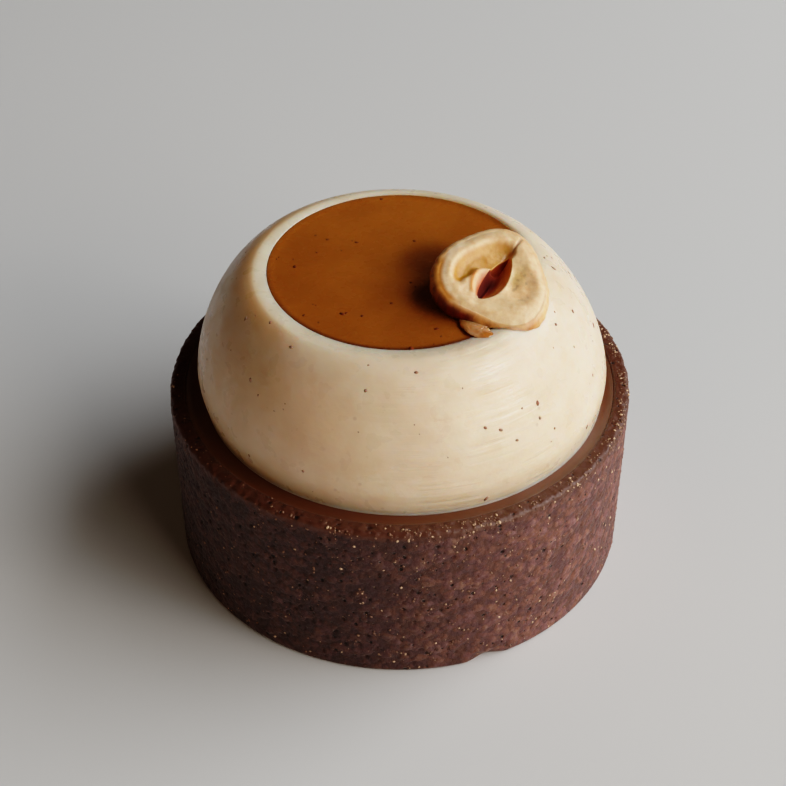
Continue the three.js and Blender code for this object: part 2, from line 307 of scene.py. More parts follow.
class Recipe(Wiring):
    """A Geometry Nodes tree with named inputs and their usual values. None stands for an object."""

    KINDS = {
        int: "NodeSocketInt",
        float: "NodeSocketFloat",
        tuple: "NodeSocketVector",
        type(None): "NodeSocketObject",
    }

    def __init__(self, name, inputs):
        super().__init__(bpy.data.node_groups.new(name, "GeometryNodeTree"))
        face = self.tree.interface
        face.new_socket("Geometry", in_out="INPUT", socket_type="NodeSocketGeometry")
        for title, usual in inputs.items():
            socket = face.new_socket(title, in_out="INPUT", socket_type=self.KINDS[type(usual)])
            if usual is not None:
                socket.default_value = usual
        face.new_socket("Material", in_out="INPUT", socket_type="NodeSocketMaterial")
        face.new_socket("Geometry", in_out="OUTPUT", socket_type="NodeSocketGeometry")
        self.given = self.add("NodeGroupInput").outputs
        self.result = self.add("NodeGroupOutput").inputs[0]

    def place(self):
        return self.add("GeometryNodeInputPosition").outputs[0]

    def along_normal(self, amount):
        return self.scaled(self.add("GeometryNodeInputNormal").outputs[0], amount)

    def shifted(self, geometry, offset, selection=True):
        inputs = {"Geometry": geometry, "Offset": offset, "Selection": selection}
        return self.add("GeometryNodeSetPosition", inputs).outputs[0]

    def finish(self, geometry):
        """Ends the tree with real, smooth-shaded mesh in its material."""
        real = self.add("GeometryNodeRealizeInstances", {"Geometry": geometry}).outputs[0]
        smooth = self.add("GeometryNodeSetShadeSmooth", {"Geometry": real}).outputs[0]
        inputs = {"Geometry": smooth, "Material": self.given["Material"]}
        self.put(self.result, self.add("GeometryNodeSetMaterial", inputs).outputs[0])
        return self.tree


def grown(name, base, tree, values):
    """A plain mesh object, grown from a base mesh by a Geometry Nodes tree with the given inputs."""
    piece = bpy.data.objects.new(name, base)
    bpy.context.scene.collection.objects.link(piece)
    modifier = piece.modifiers.new(name, "NODES")
    modifier.node_group = tree
    names = {item.name: item.identifier for item in tree.interface.items_tree if item.in_out == "INPUT"}
    for title, value in values.items():
        modifier[names[title]] = value
    graph = bpy.context.evaluated_depsgraph_get()
    mesh = bpy.data.meshes.new_from_object(piece.evaluated_get(graph))
    mesh.name = name
    piece.modifiers.clear()
    piece.data = mesh
    return piece


def placed(name, mesh, material):
    """An object at the origin for a mesh that is already in place."""
    piece = bpy.data.objects.new(name, mesh)
    bpy.context.scene.collection.objects.link(piece)
    mesh.materials.append(material)
    mesh.shade_smooth()
    return piece


def hand_over(piece, slot, *nodes):
    """Ties a finished piece to the solids, once its mesh is closed, faces out and isn't too fine."""
    work = bmesh.new()
    work.from_mesh(piece.data)
    volume = work.calc_volume(signed=True)
    open_edges = sum(not edge.is_manifold for edge in work.edges)
    triangles = sum(len(face.verts) - 2 for face in work.faces)
    work.free()
    if volume <= 0 or open_edges or triangles > MOST_TRIANGLES:
        raise RuntimeError(f"{piece.name}: volume {volume}, open edges {open_edges}, triangles {triangles}")
    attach(piece, BODY)
    if nodes:
        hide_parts(*nodes)


def arc(radius, level, size, start, end, steps):
    """Points of an arc in the plane of radius and height, by degrees."""
    angles = (math.radians(start + (end - start) * i / steps) for i in range(steps + 1))
    return [(radius + size * math.cos(a), level + size * math.sin(a)) for a in angles]


def line(first, last, spacing):
    """Points between two others, without the first."""
    steps = max(1, round(math.dist(first, last) / spacing))
    return [tuple(a + (b - a) * i / steps for a, b in zip(first, last)) for i in range(1, steps + 1)]


def creep(radius, level, climb, reach, steps=8):
    """The edge of a liquid's surface, from where it climbs a wall to where it lies flat."""
    shares = (i / steps for i in range(steps + 1))
    return [(radius - reach * share, level + climb * (1 - share) ** 2) for share in shares]


def chain_mesh(name, places):
    """Places joined one to the next by edges."""
    mesh = bpy.data.meshes.new(name)
    mesh.from_pydata(places, [(i, i + 1) for i in range(len(places) - 1)], [])
    return mesh


def smooth(value, low, high):
    """0 below low and 1 above high, eased between them."""
    share = min(1.0, max(0.0, (value - low) / (high - low)))
    return share * share * (3 - 2 * share)


def band(value, starts, full, fades, ends):
    """1 between full and fades, 0 outside starts and ends, eased between them."""
    return smooth(value, starts, full) * (1 - smooth(value, fades, ends))


def bump_shape(distance, width):
    """1 at no distance and 0 past a width."""
    share = min(1.0, abs(distance) / width)
    return (1 - share * share) ** 2


# The middles of the dome's foot, lip and dish: the dome leans a little.
CREAM_FOOT_CENTRE = (0.4 * MM, -0.05 * MM, 0.0)
CREAM_TOP_CENTRE = (-0.42 * MM, -0.42 * MM, 0.0)
DISH_CENTRE = (-0.06 * MM, 0.18 * MM, 0.0)
DISH_DEPTH = 3.2 * MM


# ---------------------------------------------------------------- materials

COOL_GRAIN = (0.95, 0.94, 1.12)
WARM_GRAIN = (1.08, 1.04, 0.86)
DOUGH_SHEEN = (0.95, 0.78, 0.70)
FILLING_CLOUDS = 0.75
FLECK_SHADE = (0.6, 0.5, 0.45)
NUT_GRAIN = (0.90, 0.81, 0.74)
NUT_VEINS = (0.5, 0.4, 0.35)

# Directions in plan, as the viewer sees them.
CRUST_RIGHT = (0.97, -0.24, 0.0)
CREAM_LEFT = (-0.97, 0.1, 0.0)
CREAM_FRONT_LEFT = (-0.75, -0.66, 0.0)
STREAKS_FRONT = (0.36, -0.93, 0.0)
CARAMEL_FRONT = (0.25, -0.97, 0.0)
CARAMEL_LEFT = (-0.97, 0.25, 0.0)

# Middle of the nut's shadow that is painted on the caramel.
NUT_SHADOW_ON_CARAMEL = (3.3 * MM, 1.4 * MM, 34 * MM)


def baked_grain(w, place):
    """Grains of the baked dough: how high they stand and how light they are, from 0 to about 1, with painted
    shade in the gaps.
    """
    loose = w.stirred(place, 0.45 * MM, 0.14 * MM)
    large, large_tone = w.cells(loose, 1.05 * MM)
    small, small_tone = w.cells(loose, 0.5 * MM)
    fine = w.noise(place, 0.34 * MM, 2.0, 0.6)
    height = w.minus(1.0, w.times(large, 0.60))
    height = w.minus(height, w.times(small, 0.45))
    height = w.plus(height, w.times(w.minus(large_tone, 0.5), 0.45))
    tone = w.plus(w.times(large_tone, 0.30), w.times(small_tone, 0.26))
    tone = w.plus(tone, w.times(fine, 0.45))
    # Partly painted shade: besides each grain's own tone, the tone is darker where the grains stand lower, in
    # the gaps between them.
    return height, w.plus(tone, w.times(w.minus(height, 0.6), 0.45))


def pinholes(w, place):
    """Small holes that steam left in the crust."""
    wide = w.dots(place, 1.2 * MM, 0.55 * MM, 0.6)
    narrow = w.dots(place, 0.7 * MM, 0.34 * MM, 0.45)
    return w.math("MAXIMUM", wide, w.times(narrow, 0.85))


def crust_material(sizes, colours):
    """Baked cocoa dough: sandy red-brown grains, dark pinholes, and a darker, smoother rim, with painted
    shade on its left side and in its pinholes.
    """
    w = Finish("baked_cocoa_crust")
    place = w.place
    grain_height, tone = baked_grain(w, place)
    tone = w.plus(tone, w.times(w.uneven(place, 2.2 * MM), 0.3))
    brown = w.mix(w.ramp(tone, 0.28, 0.62), colours.crust_dark, colours.crust_mid)
    brown = w.mix(w.ramp(tone, 0.58, 0.90), brown, colours.crust_light)
    hue = w.noise(w.vector("ADD", place, (0.3, 0.1, 0.2)), 0.9 * MM)
    brown = w.tinted(brown, w.mix(w.ramp(hue, 0.38, 0.62), COOL_GRAIN, WARM_GRAIN))
    # Painted shade: the crust's left side, away from the lights, is darkened.
    lit_side_share = w.ramp(w.towards(CRUST_RIGHT, place), 0.0, 22 * MM)
    brown = w.mix(lit_side_share, w.tinted(brown, colours.crust_side_shade), brown)
    # The rim's lower edge is ragged.
    height = w.height(place)
    ragged = w.plus(height, w.times(w.uneven(place, 0.6 * MM), 1.2 * MM))
    on_rim = w.ramp(ragged, sizes.shell_height - 1.3 * MM, sizes.shell_height - 0.3 * MM)
    brown = w.mix(w.times(on_rim, 0.93), brown, colours.rim)
    # Painted shade: the pinholes sink the relief, and their insides are darkened nearly to black.
    holes = pinholes(w, place)
    rough = w.ramp(w.noise(place, 0.3 * MM), 0.3, 0.7, 0.5, 0.75, "LINEAR")
    w.shade({
        "Base Color": w.mix(w.times(holes, 0.92), brown, colours.pinhole),
        "Roughness": w.minus(rough, w.times(on_rim, 0.15)),
        "Specular IOR Level": 0.5,
        "Sheen Weight": 0.2,
        "Sheen Roughness": 0.3,
        "Sheen Tint": DOUGH_SHEEN,
    })
    relief = w.plus(grain_height, w.times(w.noise(place, 0.16 * MM, 2.0, 0.6), 0.5))
    relief = w.minus(relief, holes)
    w.bump(w.times(relief, w.minus(1.0, w.times(on_rim, 0.5))), 0.12 * MM)
    return w.material


def crumb_material(colours):
    """Loose crumbs and sugar grains, from brown to pale gold."""
    w = Finish("crumbs_and_sugar")
    brown = w.mix(w.noise(w.place, 0.2 * MM, 1.0), colours.crumb_dark, colours.crumb_brown)
    w.shade({
        "Base Color": w.mix(w.ramp(w.attribute("tone"), 0.55, 0.95), brown, colours.crumb_pale),
        "Roughness": 0.38,
    })
    w.bump(w.noise(w.place, 0.08 * MM, 1.0), 0.03 * MM)
    return w.material


def filling_material(colours):
    """Soft set chocolate with a satin surface."""
    w = Finish("soft_chocolate")
    clouds = w.noise(w.place, 2.5 * MM)
    w.shade({
        "Base Color": w.mix(clouds, colours.filling, tuple(FILLING_CLOUDS * c for c in colours.filling)),
        "Roughness": w.ramp(clouds, 0.3, 0.7, 0.28, 0.42, "LINEAR"),
        "Coat Weight": 0.5,
        "Coat Roughness": 0.32,
    })
    w.bump(w.noise(w.place, 0.8 * MM), 0.04 * MM, 0.6)
    return w.material


def streaks(w, place):
    """Long flat marks round the dome, as a mould or palette knife leaves them, clearest in front."""
    marks = w.noise(w.stretched(place, 0.03, 0.03, 1.0), 0.7 * MM, 3.0, 0.6, 0.15)
    patches = w.ramp(w.noise(place, 5 * MM, 1.0), 0.42, 0.62, 0.15, 1.2)
    outward = w.vector("NORMALIZE", w.level(place))
    in_front = w.ramp(w.towards(STREAKS_FRONT, outward), 0.88, 0.985, 0.12, 1.0)
    return w.times(w.minus(marks, 0.5), w.times(patches, in_front))


def cream_material(sizes, colours):
    """Whipped cream with faint clouds, drag marks and specks under its surface, and painted shade and glow on
    its left.
    """
    w = Finish("moulded_cream")
    place = w.place
    clouds = w.noise(w.stretched(place, 1.0, 1.0, 1.5), 4 * MM, 3.0, 0.55)
    marks = streaks(w, place)
    cloudy = w.plus(w.ramp(clouds, 0.36, 0.70, 0.1, 0.75), marks, clamp=True)
    pale = w.mix(cloudy, colours.cream, colours.cream_shade)
    sunk = w.dots(place, 2.2 * MM, 0.55 * MM, 0.25)
    pale = w.mix(w.times(sunk, 0.35), pale, colours.cream_speck)
    # Painted shade on the cream's left side, away from the lights: warm brown there, with a painted golden
    # glow just outside the lip.
    crest = sizes.cream_crest
    from_top = w.vector("SUBTRACT", place, CREAM_TOP_CENTRE)
    radius = w.span(w.level(from_top))
    past_lip = w.ramp(radius, crest - 0.5 * MM, crest + 0.5 * MM)
    left = w.ramp(w.towards(CREAM_FRONT_LEFT, from_top), 13 * MM, 19 * MM)
    brown = w.times(w.times(left, past_lip), w.ramp(w.height(place), 22 * MM, 31 * MM, 0.3, 0.6))
    pale = w.mix(w.times(brown, 0.9), pale, w.tinted(pale, colours.cream_shaded_side))
    # Painted glow: light shining through the cream is painted golden just outside the lip.
    golden = w.times(past_lip, w.ramp(radius, crest + 0.7 * MM, crest + 3.0 * MM, 1.0, 0.0))
    golden = w.times(golden, w.ramp(w.towards(CREAM_LEFT, from_top), 7 * MM, 13 * MM))
    satin = w.plus(w.noise(place, 1.8 * MM), w.times(marks, 1.5))
    w.shade({
        "Base Color": w.mix(w.times(golden, 0.8), pale, colours.cream_lip_glow),
        "Roughness": w.ramp(satin, 0.3, 0.7, 0.22, 0.46, "LINEAR"),
        "Subsurface Weight": 0.6,
        "Subsurface Radius": (1.0, 0.55, 0.28),
        "Subsurface Scale": 4.0 * MM,
        "Specular IOR Level": 0.5,
    })
    relief = w.plus(w.times(marks, 1.5), w.times(w.noise(place, 0.5 * MM, 1.0), 0.12))
    relief = w.plus(relief, w.times(w.noise(place, 2.6 * MM, 1.0), 0.8))
    w.bump(relief, 0.16 * MM, 0.8)
    return w.material


def caramel_material(sizes, colours):
    """Set caramel: amber, satin smooth, darker towards the left and the front, with painted shade round its
    edge and the nut's shadow painted beside it.
    """
    w = Finish("set_caramel")
    place = w.place
    forward = w.towards(CARAMEL_FRONT, place)
    leftward = w.towards(CARAMEL_LEFT, place)
    clouds = w.ramp(w.noise(place, 5 * MM, 2.0, 0.5, 0.3), 0.3, 0.75, -0.1, 0.12)
    # Darker towards the left and the front, and lighter towards the right.
    thick = w.plus(clouds, w.ramp(forward, -11 * MM, 11 * MM, 0.62, 0.95))
    thick = w.plus(thick, w.ramp(leftward, 4 * MM, 13 * MM, 0.0, 0.2))
    thick = w.minus(thick, w.ramp(leftward, -13 * MM, -4 * MM, 0.2, 0.0), clamp=True)
    amber = w.mix(thick, colours.caramel, colours.caramel_deep)
    # Painted shadow: the nut's shadow on the caramel, darkest beside the nut.
    from_nut_shadow = w.span(w.vector("SUBTRACT", place, NUT_SHADOW_ON_CARAMEL))
    amber = w.mix(w.ramp(from_nut_shadow, 1.2 * MM, 5.0 * MM, 0.72, 0.0), amber, colours.caramel_nut_shadow)
    specks = w.dots(place, 1.5 * MM, 0.3 * MM, 0.15)
    amber = w.mix(w.times(specks, 0.35), amber, colours.caramel_deep)
    # Painted shade: a dark line round the pool where the lip shades it, strongest in front.
    radius = w.span(w.level(w.vector("SUBTRACT", place, DISH_CENTRE)))
    edge = w.ramp(radius, sizes.caramel_radius - 0.75 * MM, sizes.caramel_radius - 0.1 * MM)
    edge = w.times(edge, w.ramp(forward, -9 * MM, 11 * MM, 0.25, 0.85))
    w.shade({
        "Base Color": w.mix(edge, amber, colours.caramel_edge_shade),
        "Roughness": w.ramp(w.noise(place, 1.2 * MM), 0.3, 0.7, 0.22, 0.32, "LINEAR"),
        "Subsurface Weight": 0.2,
        "Subsurface Radius": (1.0, 0.4, 0.1),
        "Subsurface Scale": 1.0 * MM,
        "Coat Weight": 0.2,
        "Coat Roughness": 0.12,
    })
    w.bump(w.noise(place, 1.1 * MM, 1.0), 0.02 * MM, 0.5)
    return w.material


def fleck_material(name, dark, reddish):
    """Soft dark specks, a few of them reddish."""
    w = Finish(name)
    seed = w.mix(w.ramp(w.attribute("tone"), 0.45, 1.0), dark, reddish)
    w.shade({
        "Base Color": w.mix(w.noise(w.place, 0.1 * MM, 1.0), seed, w.tinted(seed, FLECK_SHADE)),
        "Roughness": 0.8,
        "Specular IOR Level": 0.15,
        "Subsurface Weight": 0.3,
        "Subsurface Scale": 0.2 * MM,
    })
    return w.material


def nut_material():
    """Hazelnut: the tints of flesh, hollow and skin are on its vertices, with grain and veins on top."""
    w = Finish("hazelnut_flesh_and_skin")
    place = w.place
    tint = w.attribute("tint", "Color")
    grain = w.noise(place, 0.5 * MM, 3.0, 0.6)
    mottle = w.noise(place, 1.1 * MM, 2.0, 0.5)
    grainy = w.ramp(w.plus(w.times(grain, 0.5), w.times(mottle, 0.5)), 0.38, 0.66)
    flesh = w.mix(grainy, tint, w.tinted(tint, NUT_GRAIN))
    veins = w.noise(w.stretched(place, 1.0, 1.0, 0.35), 0.7 * MM, 3.0, 0.6)
    on_skin = w.times(w.ramp(veins, 0.4, 0.65), w.attribute("skin"))
    w.shade({
        "Base Color": w.mix(on_skin, flesh, w.tinted(tint, NUT_VEINS)),
        "Roughness": w.plus(0.38, w.times(w.attribute("deep"), 0.5)),
        "Subsurface Weight": 0.3,
        "Subsurface Radius": (1.0, 0.5, 0.22),
        "Subsurface Scale": 1.2 * MM,
    })
    w.bump(w.plus(grain, w.times(veins, 0.6)), 0.05 * MM, 0.6)
    return w.material


def bead_material(colours):
    """A bead of wet caramel and cream that holds the nut."""
    w = Finish("wet_caramel_bead")
    milky = w.ramp(w.noise(w.place, 1.3 * MM, 1.0), 0.3, 0.7)
    w.shade({
        "Base Color": w.mix(milky, colours.bead, colours.bead_milky),
        "Roughness": 0.1,
        "Coat Weight": 1.0,
        "Coat Roughness": 0.03,
        "Subsurface Weight": 0.4,
        "Subsurface Scale": 1.0 * MM,
    })
    w.bump(w.noise(w.place, 0.4 * MM, 1.0), 0.1 * MM)
    return w.material


def floor_material(colours):
    """A plain pale table top."""
    w = Finish("plain_floor")
    w.shade({"Base Color": colours.floor, "Roughness": 0.75, "Specular IOR Level": 0.2})
    return w.material


# ---------------------------------------------------------------- Geometry Nodes

TURNING_RADIUS = 0.01  # of the circle that an outline is swept round
WELD_DISTANCE = 0.5e-6
BEAD_STEPS = 60
BEAD_SIDES = 28
BEAD_END = 0.03 * MM  # how thin it gets at its ends
ANY_TURN = 6.28
LONGER_BITS = 0.6  # the most that is added to a bit's length, as a share of its width


def turned(r):
    """Sweeps the base mesh's outline round the upright axis, and welds the seam and the poles."""
    outline = r.add("GeometryNodeMeshToCurve", {"Mesh": r.given["Geometry"]}).outputs[0]
    around = {"Resolution": r.given["Columns"], "Radius": TURNING_RADIUS}
    circle = r.add("GeometryNodeCurvePrimitiveCircle", around).outputs[0]
    upright = r.add("GeometryNodeSetCurveNormal", {"Curve": circle}, mode="Z_UP").outputs[0]
    swept = r.add("GeometryNodeCurveToMesh", {"Curve": upright, "Profile Curve": outline}).outputs[0]
    welding = {"Geometry": swept, "Distance": WELD_DISTANCE}
    welded = r.add("GeometryNodeMergeByDistance", welding).outputs[0]
    return r.add("GeometryNodeFlipFaces", {"Mesh": welded}).outputs[0]


def shell_tree():
    """The crust: a turned cup, roughened outside by swells, grains and pits, and nicked at the foot."""
    r = Recipe("Turned crust", {
        "Columns": 700,
        "Inner radius": 23.3 * MM,
        "Swell depth": 0.09 * MM,
        "Grain depth": 0.1 * MM,
        "Pit depth": 0.3 * MM,
        "Nick centre": (0.0, 0.0, 0.0),
        "Nick reach": 2.6 * MM,
        "Nick depth": 0.65 * MM,
        "Seed": 3.0,
    })
    given = r.given
    shape = turned(r)
    place = r.place()
    radius = r.span(r.level(place))
    outside = r.ramp(radius, given["Inner radius"], r.plus(given["Inner radius"], 0.35 * MM))
    above_foot = r.ramp(r.height(place), 0.05 * MM, 0.9 * MM)
    seeded = r.vector("ADD", place, r.along("X", given["Seed"]))
    swell = r.times(r.times(r.uneven(seeded, 5 * MM, 1.0), given["Swell depth"]), 2.0)
    grain = r.minus(baked_grain(r, place)[0], 0.55)
    grain = r.times(grain, r.times(given["Grain depth"], 2.0))
    pits = r.times(pinholes(r, place), given["Pit depth"])
    rough = r.minus(r.plus(swell, grain), pits)
    amount = r.times(r.times(rough, outside), above_foot)
    shape = r.shifted(shape, r.along_normal(amount))
    from_nick = r.vector("SUBTRACT", place, given["Nick centre"])
    from_nick = r.span(r.stretched(from_nick, 1.0, 1.0, 1.6))
    nick = r.times(r.ramp(from_nick, given["Nick reach"], 0.0), given["Nick depth"])
    inward = r.vector("NORMALIZE", r.stretched(place, -1.0, -1.0, 0.0))
    return r.finish(r.shifted(shape, r.scaled(inward, nick)))


def dome_tree():
    """The cream: a turned dome that leans a little, with a slow swell and the mould's marks on its side."""
    r = Recipe("Turned cream", {
        "Columns": 320,
        "Foot centre": (0.0, 0.0, 0.0),
        "Top centre": (0.0, 0.0, 0.0),
        "Dish centre": (0.0, 0.0, 0.0),
        "Foot level": 19.5 * MM,
        "Top level": 34.35 * MM,
        "Dish foot": 30.8 * MM,
        "Crest radius": 14.85 * MM,
        "Dish radius": 13.85 * MM,
        "Side starts": 20.5 * MM,
        "Side ends": 33.0 * MM,
        "Swell depth": 0.08 * MM,
        "Streak depth": 0.035 * MM,
    })
    given = r.given
    shape = turned(r)
    place = r.place()
    z = r.height(place)
    radius = r.span(r.level(place))
    on_side = r.times(
        r.ramp(z, given["Side starts"], r.plus(given["Side starts"], 2 * MM)),
        r.ramp(z, given["Side ends"], r.minus(given["Side ends"], 2 * MM)),
    )
    on_side = r.times(on_side, r.math("GREATER_THAN", radius, given["Crest radius"]))
    swell = r.times(r.times(r.uneven(place, 11 * MM, 1.0), given["Swell depth"]), 2.0)
    drag = r.times(r.times(streaks(r, place), given["Streak depth"]), 2.0)
    shape = r.shifted(shape, r.along_normal(r.times(r.plus(swell, drag), on_side)))
    share = r.ramp(z, given["Foot level"], given["Top level"], kind="LINEAR")
    side = r.between(share, given["Foot centre"], given["Top centre"])
    high = r.math("GREATER_THAN", z, given["Dish foot"])
    on_lip = r.ramp(radius, given["Crest radius"], given["Dish radius"], kind="LINEAR")
    return r.finish(r.shifted(shape, r.between(r.times(on_lip, high), side, given["Dish centre"])))


def pool_tree():
    """A turned, flat piece round its own centre, whose top isn't perfectly level."""
    r = Recipe("Turned pool", {
        "Columns": 320,
        "Centre": (0.0, 0.0, 0.0),
        "Surface level": 34 * MM,
        "Unevenness": 0.03 * MM,
    })
    shape = r.shifted(turned(r), r.given["Centre"])
    place = r.place()
    top = r.math("GREATER_THAN", r.height(place), r.minus(r.given["Surface level"], 0.02 * MM))
    rise = r.times(r.uneven(place, 4 * MM, 1.0), r.given["Unevenness"])
    return r.finish(r.shifted(shape, r.along("Z", rise), top))


def bead_tree():
    """A lumpy bead laid along a path, pinched shut at both ends and flattened towards a level."""
    r = Recipe("Bead along a path", {
        "Thickness": 1.2 * MM,
        "Lump size": 1.0 * MM,
        "Lump height": 0.5 * MM,
        "Lies at": 0.0,
        "Flattened": 0.8,
        "Seed": 1,
    })
    given = r.given
    path = r.add("GeometryNodeMeshToCurve", {"Mesh": given["Geometry"]}).outputs[0]
    even = r.add("GeometryNodeResampleCurve", {"Curve": path, "Count": BEAD_STEPS}).outputs[0]
    along = r.add("GeometryNodeSplineParameter").outputs["Factor"]
    swelling = r.math("MAXIMUM", r.math("SINE", r.times(along, math.pi)), 0.0)
    thick = r.math("MAXIMUM", r.times(r.math("POWER", swelling, 0.6), given["Thickness"]), BEAD_END)
    ring = r.add("GeometryNodeCurvePrimitiveCircle", {"Resolution": BEAD_SIDES, "Radius": 1.0}).outputs[0]
    sweep = {"Curve": even, "Profile Curve": ring, "Scale": thick, "Fill Caps": True}
    tube = r.add("GeometryNodeCurveToMesh", sweep).outputs[0]
    seeded = r.vector("ADD", r.place(), r.along("X", given["Seed"]))
    push = r.times(r.uneven(seeded, given["Lump size"]), given["Lump height"])
    bead = r.shifted(tube, r.along_normal(push))
    sunk = r.times(r.minus(given["Lies at"], r.height(r.place())), given["Flattened"])
    return r.finish(r.shifted(bead, r.along("Z", sunk)))


def scatter_tree():
    """Small bits scattered over a surface between two heights, laid along it and sunk into it."""
    r = Recipe("Scattered bits", {
        "Surface": None,
        "Bits per square metre": 1e5,
        "Lowest": 0.0,
        "Highest": 1.0,
        "Innermost": 0.0,
        "Rim level": 1.0,
        "Extra on the rim": 0.0,
        "Clump size": 4 * MM,
        "Clumping": 0.5,
        "Heavier towards": (0.0, 0.0, 0.0),
        "Smallest": 0.05 * MM,
        "Largest": 0.2 * MM,
        "Flatness": 0.6,
        "Length": 1.3,
        "Seed": 1,
    })
    given = r.given
    surface = r.add("GeometryNodeObjectInfo", {"Object": given["Surface"]}).outputs["Geometry"]
    place = r.place()
    z = r.height(place)
    radius = r.span(r.level(place))

    def drawn(step, most=1.0):
        """A random number for each bit, from 0 to the most."""
        inputs = {"Max": most, "Seed": r.plus(given["Seed"], step)}
        return r.add("FunctionNodeRandomValue", inputs).outputs[1]

    between = r.times(r.math("GREATER_THAN", z, given["Lowest"]), r.math("LESS_THAN", z, given["Highest"]))
    within = r.times(between, r.math("GREATER_THAN", radius, given["Innermost"]))
    clump = r.times(r.ramp(r.noise(place, given["Clump size"]), 0.4, 0.6), given["Clumping"])
    clump = r.plus(clump, r.minus(1.0, given["Clumping"]))
    heavier = r.math("MAXIMUM", r.plus(1.0, r.towards(given["Heavier towards"], place)), 0.0)
    on_rim = r.ramp(z, given["Rim level"], r.plus(given["Rim level"], 0.4 * MM))
    rim = r.plus(1.0, r.times(on_rim, given["Extra on the rim"]))
    density = r.times(r.times(clump, rim), heavier)
    density = r.times(r.times(density, given["Bits per square metre"]), within)
    spreading = {"Mesh": surface, "Density": density, "Seed": given["Seed"]}
    spots = r.add("GeometryNodeDistributePointsOnFaces", spreading, distribute_method="RANDOM").outputs
    bit = r.add("GeometryNodeMeshIcoSphere", {"Radius": 1.0, "Subdivisions": 1}).outputs[0]
    spin = r.add("FunctionNodeEulerToRotation", {"Euler": r.along("Z", drawn(1, ANY_TURN))}).outputs[0]
    turning = {"Rotation": spots["Rotation"], "Rotate By": spin}
    turn = r.add("FunctionNodeRotateRotation", turning, rotation_space="LOCAL").outputs[0]
    span = r.minus(given["Largest"], given["Smallest"])
    size = r.plus(given["Smallest"], r.times(r.math("POWER", drawn(2), 2.0), span))
    scale = r.add("ShaderNodeCombineXYZ", {
        "X": r.times(size, r.plus(given["Length"], drawn(3, LONGER_BITS))),
        "Y": size,
        "Z": r.times(size, given["Flatness"]),
    }).outputs[0]
    laying = {"Points": spots["Points"], "Instance": bit, "Rotation": turn, "Scale": scale}
    bits = r.add("GeometryNodeInstanceOnPoints", laying).outputs[0]
    toning = {"Geometry": bits, "Name": "tone", "Value": drawn(4)}
    toned = r.add("GeometryNodeStoreNamedAttribute", toning, data_type="FLOAT", domain="INSTANCE")
    return r.finish(toned.outputs[0])


def turned_piece(name, outline, tree, values):
    """Turns an outline of radius and height."""
    base = chain_mesh(name + "_outline", [(radius - TURNING_RADIUS, -level, 0) for radius, level in outline])
    return grown(name, base, tree, values)


def scattered(name, surface, slot, material, values):
    """Lays bits of a material over a finished piece."""
    inputs = {"Surface": bpy.data.objects[surface], "Material": material, **values}
    hand_over(grown(name, bpy.data.meshes.new(name + "_start"), scatter_tree(), inputs), slot)


# ---------------------------------------------------------------- outlines of the turned pieces

FOOT_ROUND = 0.35 * MM
RIM_ROUND = 0.55 * MM
RIM_INNER_ROUND = 0.33 * MM
CRUST_ROWS = 0.22 * MM  # spacing of the crust's rows where it is rough
FINE_INSIDE = 1.1 * MM  # how far they go down the inside
FLAT_ROWS = 6 * MM  # spacing where nothing shows
WIDE_ROWS = 8 * MM
HIDDEN_GAP = 0.1 * MM
FILLING_IN_WALL = 0.04 * MM  # so that no gap shows
FILLING_CURVE = 0.9 * MM  # where it climbs the wall
FILLING_SHOWS = 2.5 * MM
FILLING_ROWS = 0.3 * MM
CARAMEL_INSIDE_LIP = 0.02 * MM
CARAMEL_CURVE = 1.0 * MM
CARAMEL_ROWS = 0.5 * MM
CREAM_FLARE = 0.05 * MM
CREAM_FLARE_HEIGHT = 0.22 * MM
CREAM_WIDEST_LEVEL = 22.4 * MM
CREAM_SHOULDER = 1.56  # 2 is a quarter of an ellipse, and less is flatter
FLARE_ROWS = 6
BULGE_ROWS = 12
SHOULDER_ROWS = 90
LIP_ROWS = 8
LIP_BEND = 0.6
LIP_DROP = 0.03 * MM
DISH_SIDE = 0.7 * MM
DISH_TUCK = 0.35 * MM
DISH_ROWS = 12


def shell_outline(sizes):
    radius, height = sizes.shell_radius, sizes.shell_height
    inner = radius - sizes.shell_wall
    points = [(0, 0), *line((0, 0), (radius - FOOT_ROUND, 0), FLAT_ROWS)]
    points += arc(radius - FOOT_ROUND, FOOT_ROUND, FOOT_ROUND, -90, 0, steps=4)[1:]
    points += line(points[-1], (radius, height - RIM_ROUND), CRUST_ROWS)
    points += arc(radius - RIM_ROUND, height - RIM_ROUND, RIM_ROUND, 0, 90, steps=5)[1:]
    points += line(points[-1], (inner + RIM_INNER_ROUND, height), CRUST_ROWS)
    curl = RIM_INNER_ROUND
    points += arc(inner + curl, height - curl, curl, 90, 180, steps=3)[1:]
    points += line(points[-1], (inner, height - FINE_INSIDE), CRUST_ROWS)
    points += line(points[-1], (inner, sizes.shell_base), FLAT_ROWS)
    points += line(points[-1], (0, sizes.shell_base), WIDE_ROWS)
    return points


def filling_outline(sizes):
    radius = sizes.shell_radius - sizes.shell_wall + FILLING_IN_WALL
    foot = sizes.shell_base + HIDDEN_GAP
    points = [(0, foot), *line((0, foot), (radius, foot), WIDE_ROWS)]
    points += line(points[-1], (radius, sizes.filling_level + sizes.filling_creep), FLAT_ROWS)
    points += creep(radius, sizes.filling_level, sizes.filling_creep, FILLING_CURVE)[1:]
    points += line(points[-1], (radius - FILLING_SHOWS, sizes.filling_level), FILLING_ROWS)
    points += line(points[-1], (0, sizes.filling_level), FLAT_ROWS)
    return points


def dish_outline(sizes, gap):
    """The dish in the dome's top, from its side down to its middle."""
    side = sizes.caramel_level - DISH_SIDE
    reach = sizes.caramel_radius - DISH_TUCK - gap
    shares = [1 - i / DISH_ROWS for i in range(DISH_ROWS + 1)]
    return [(reach * share, side - (DISH_DEPTH - DISH_SIDE) * (1 - share**2) + gap) for share in shares]


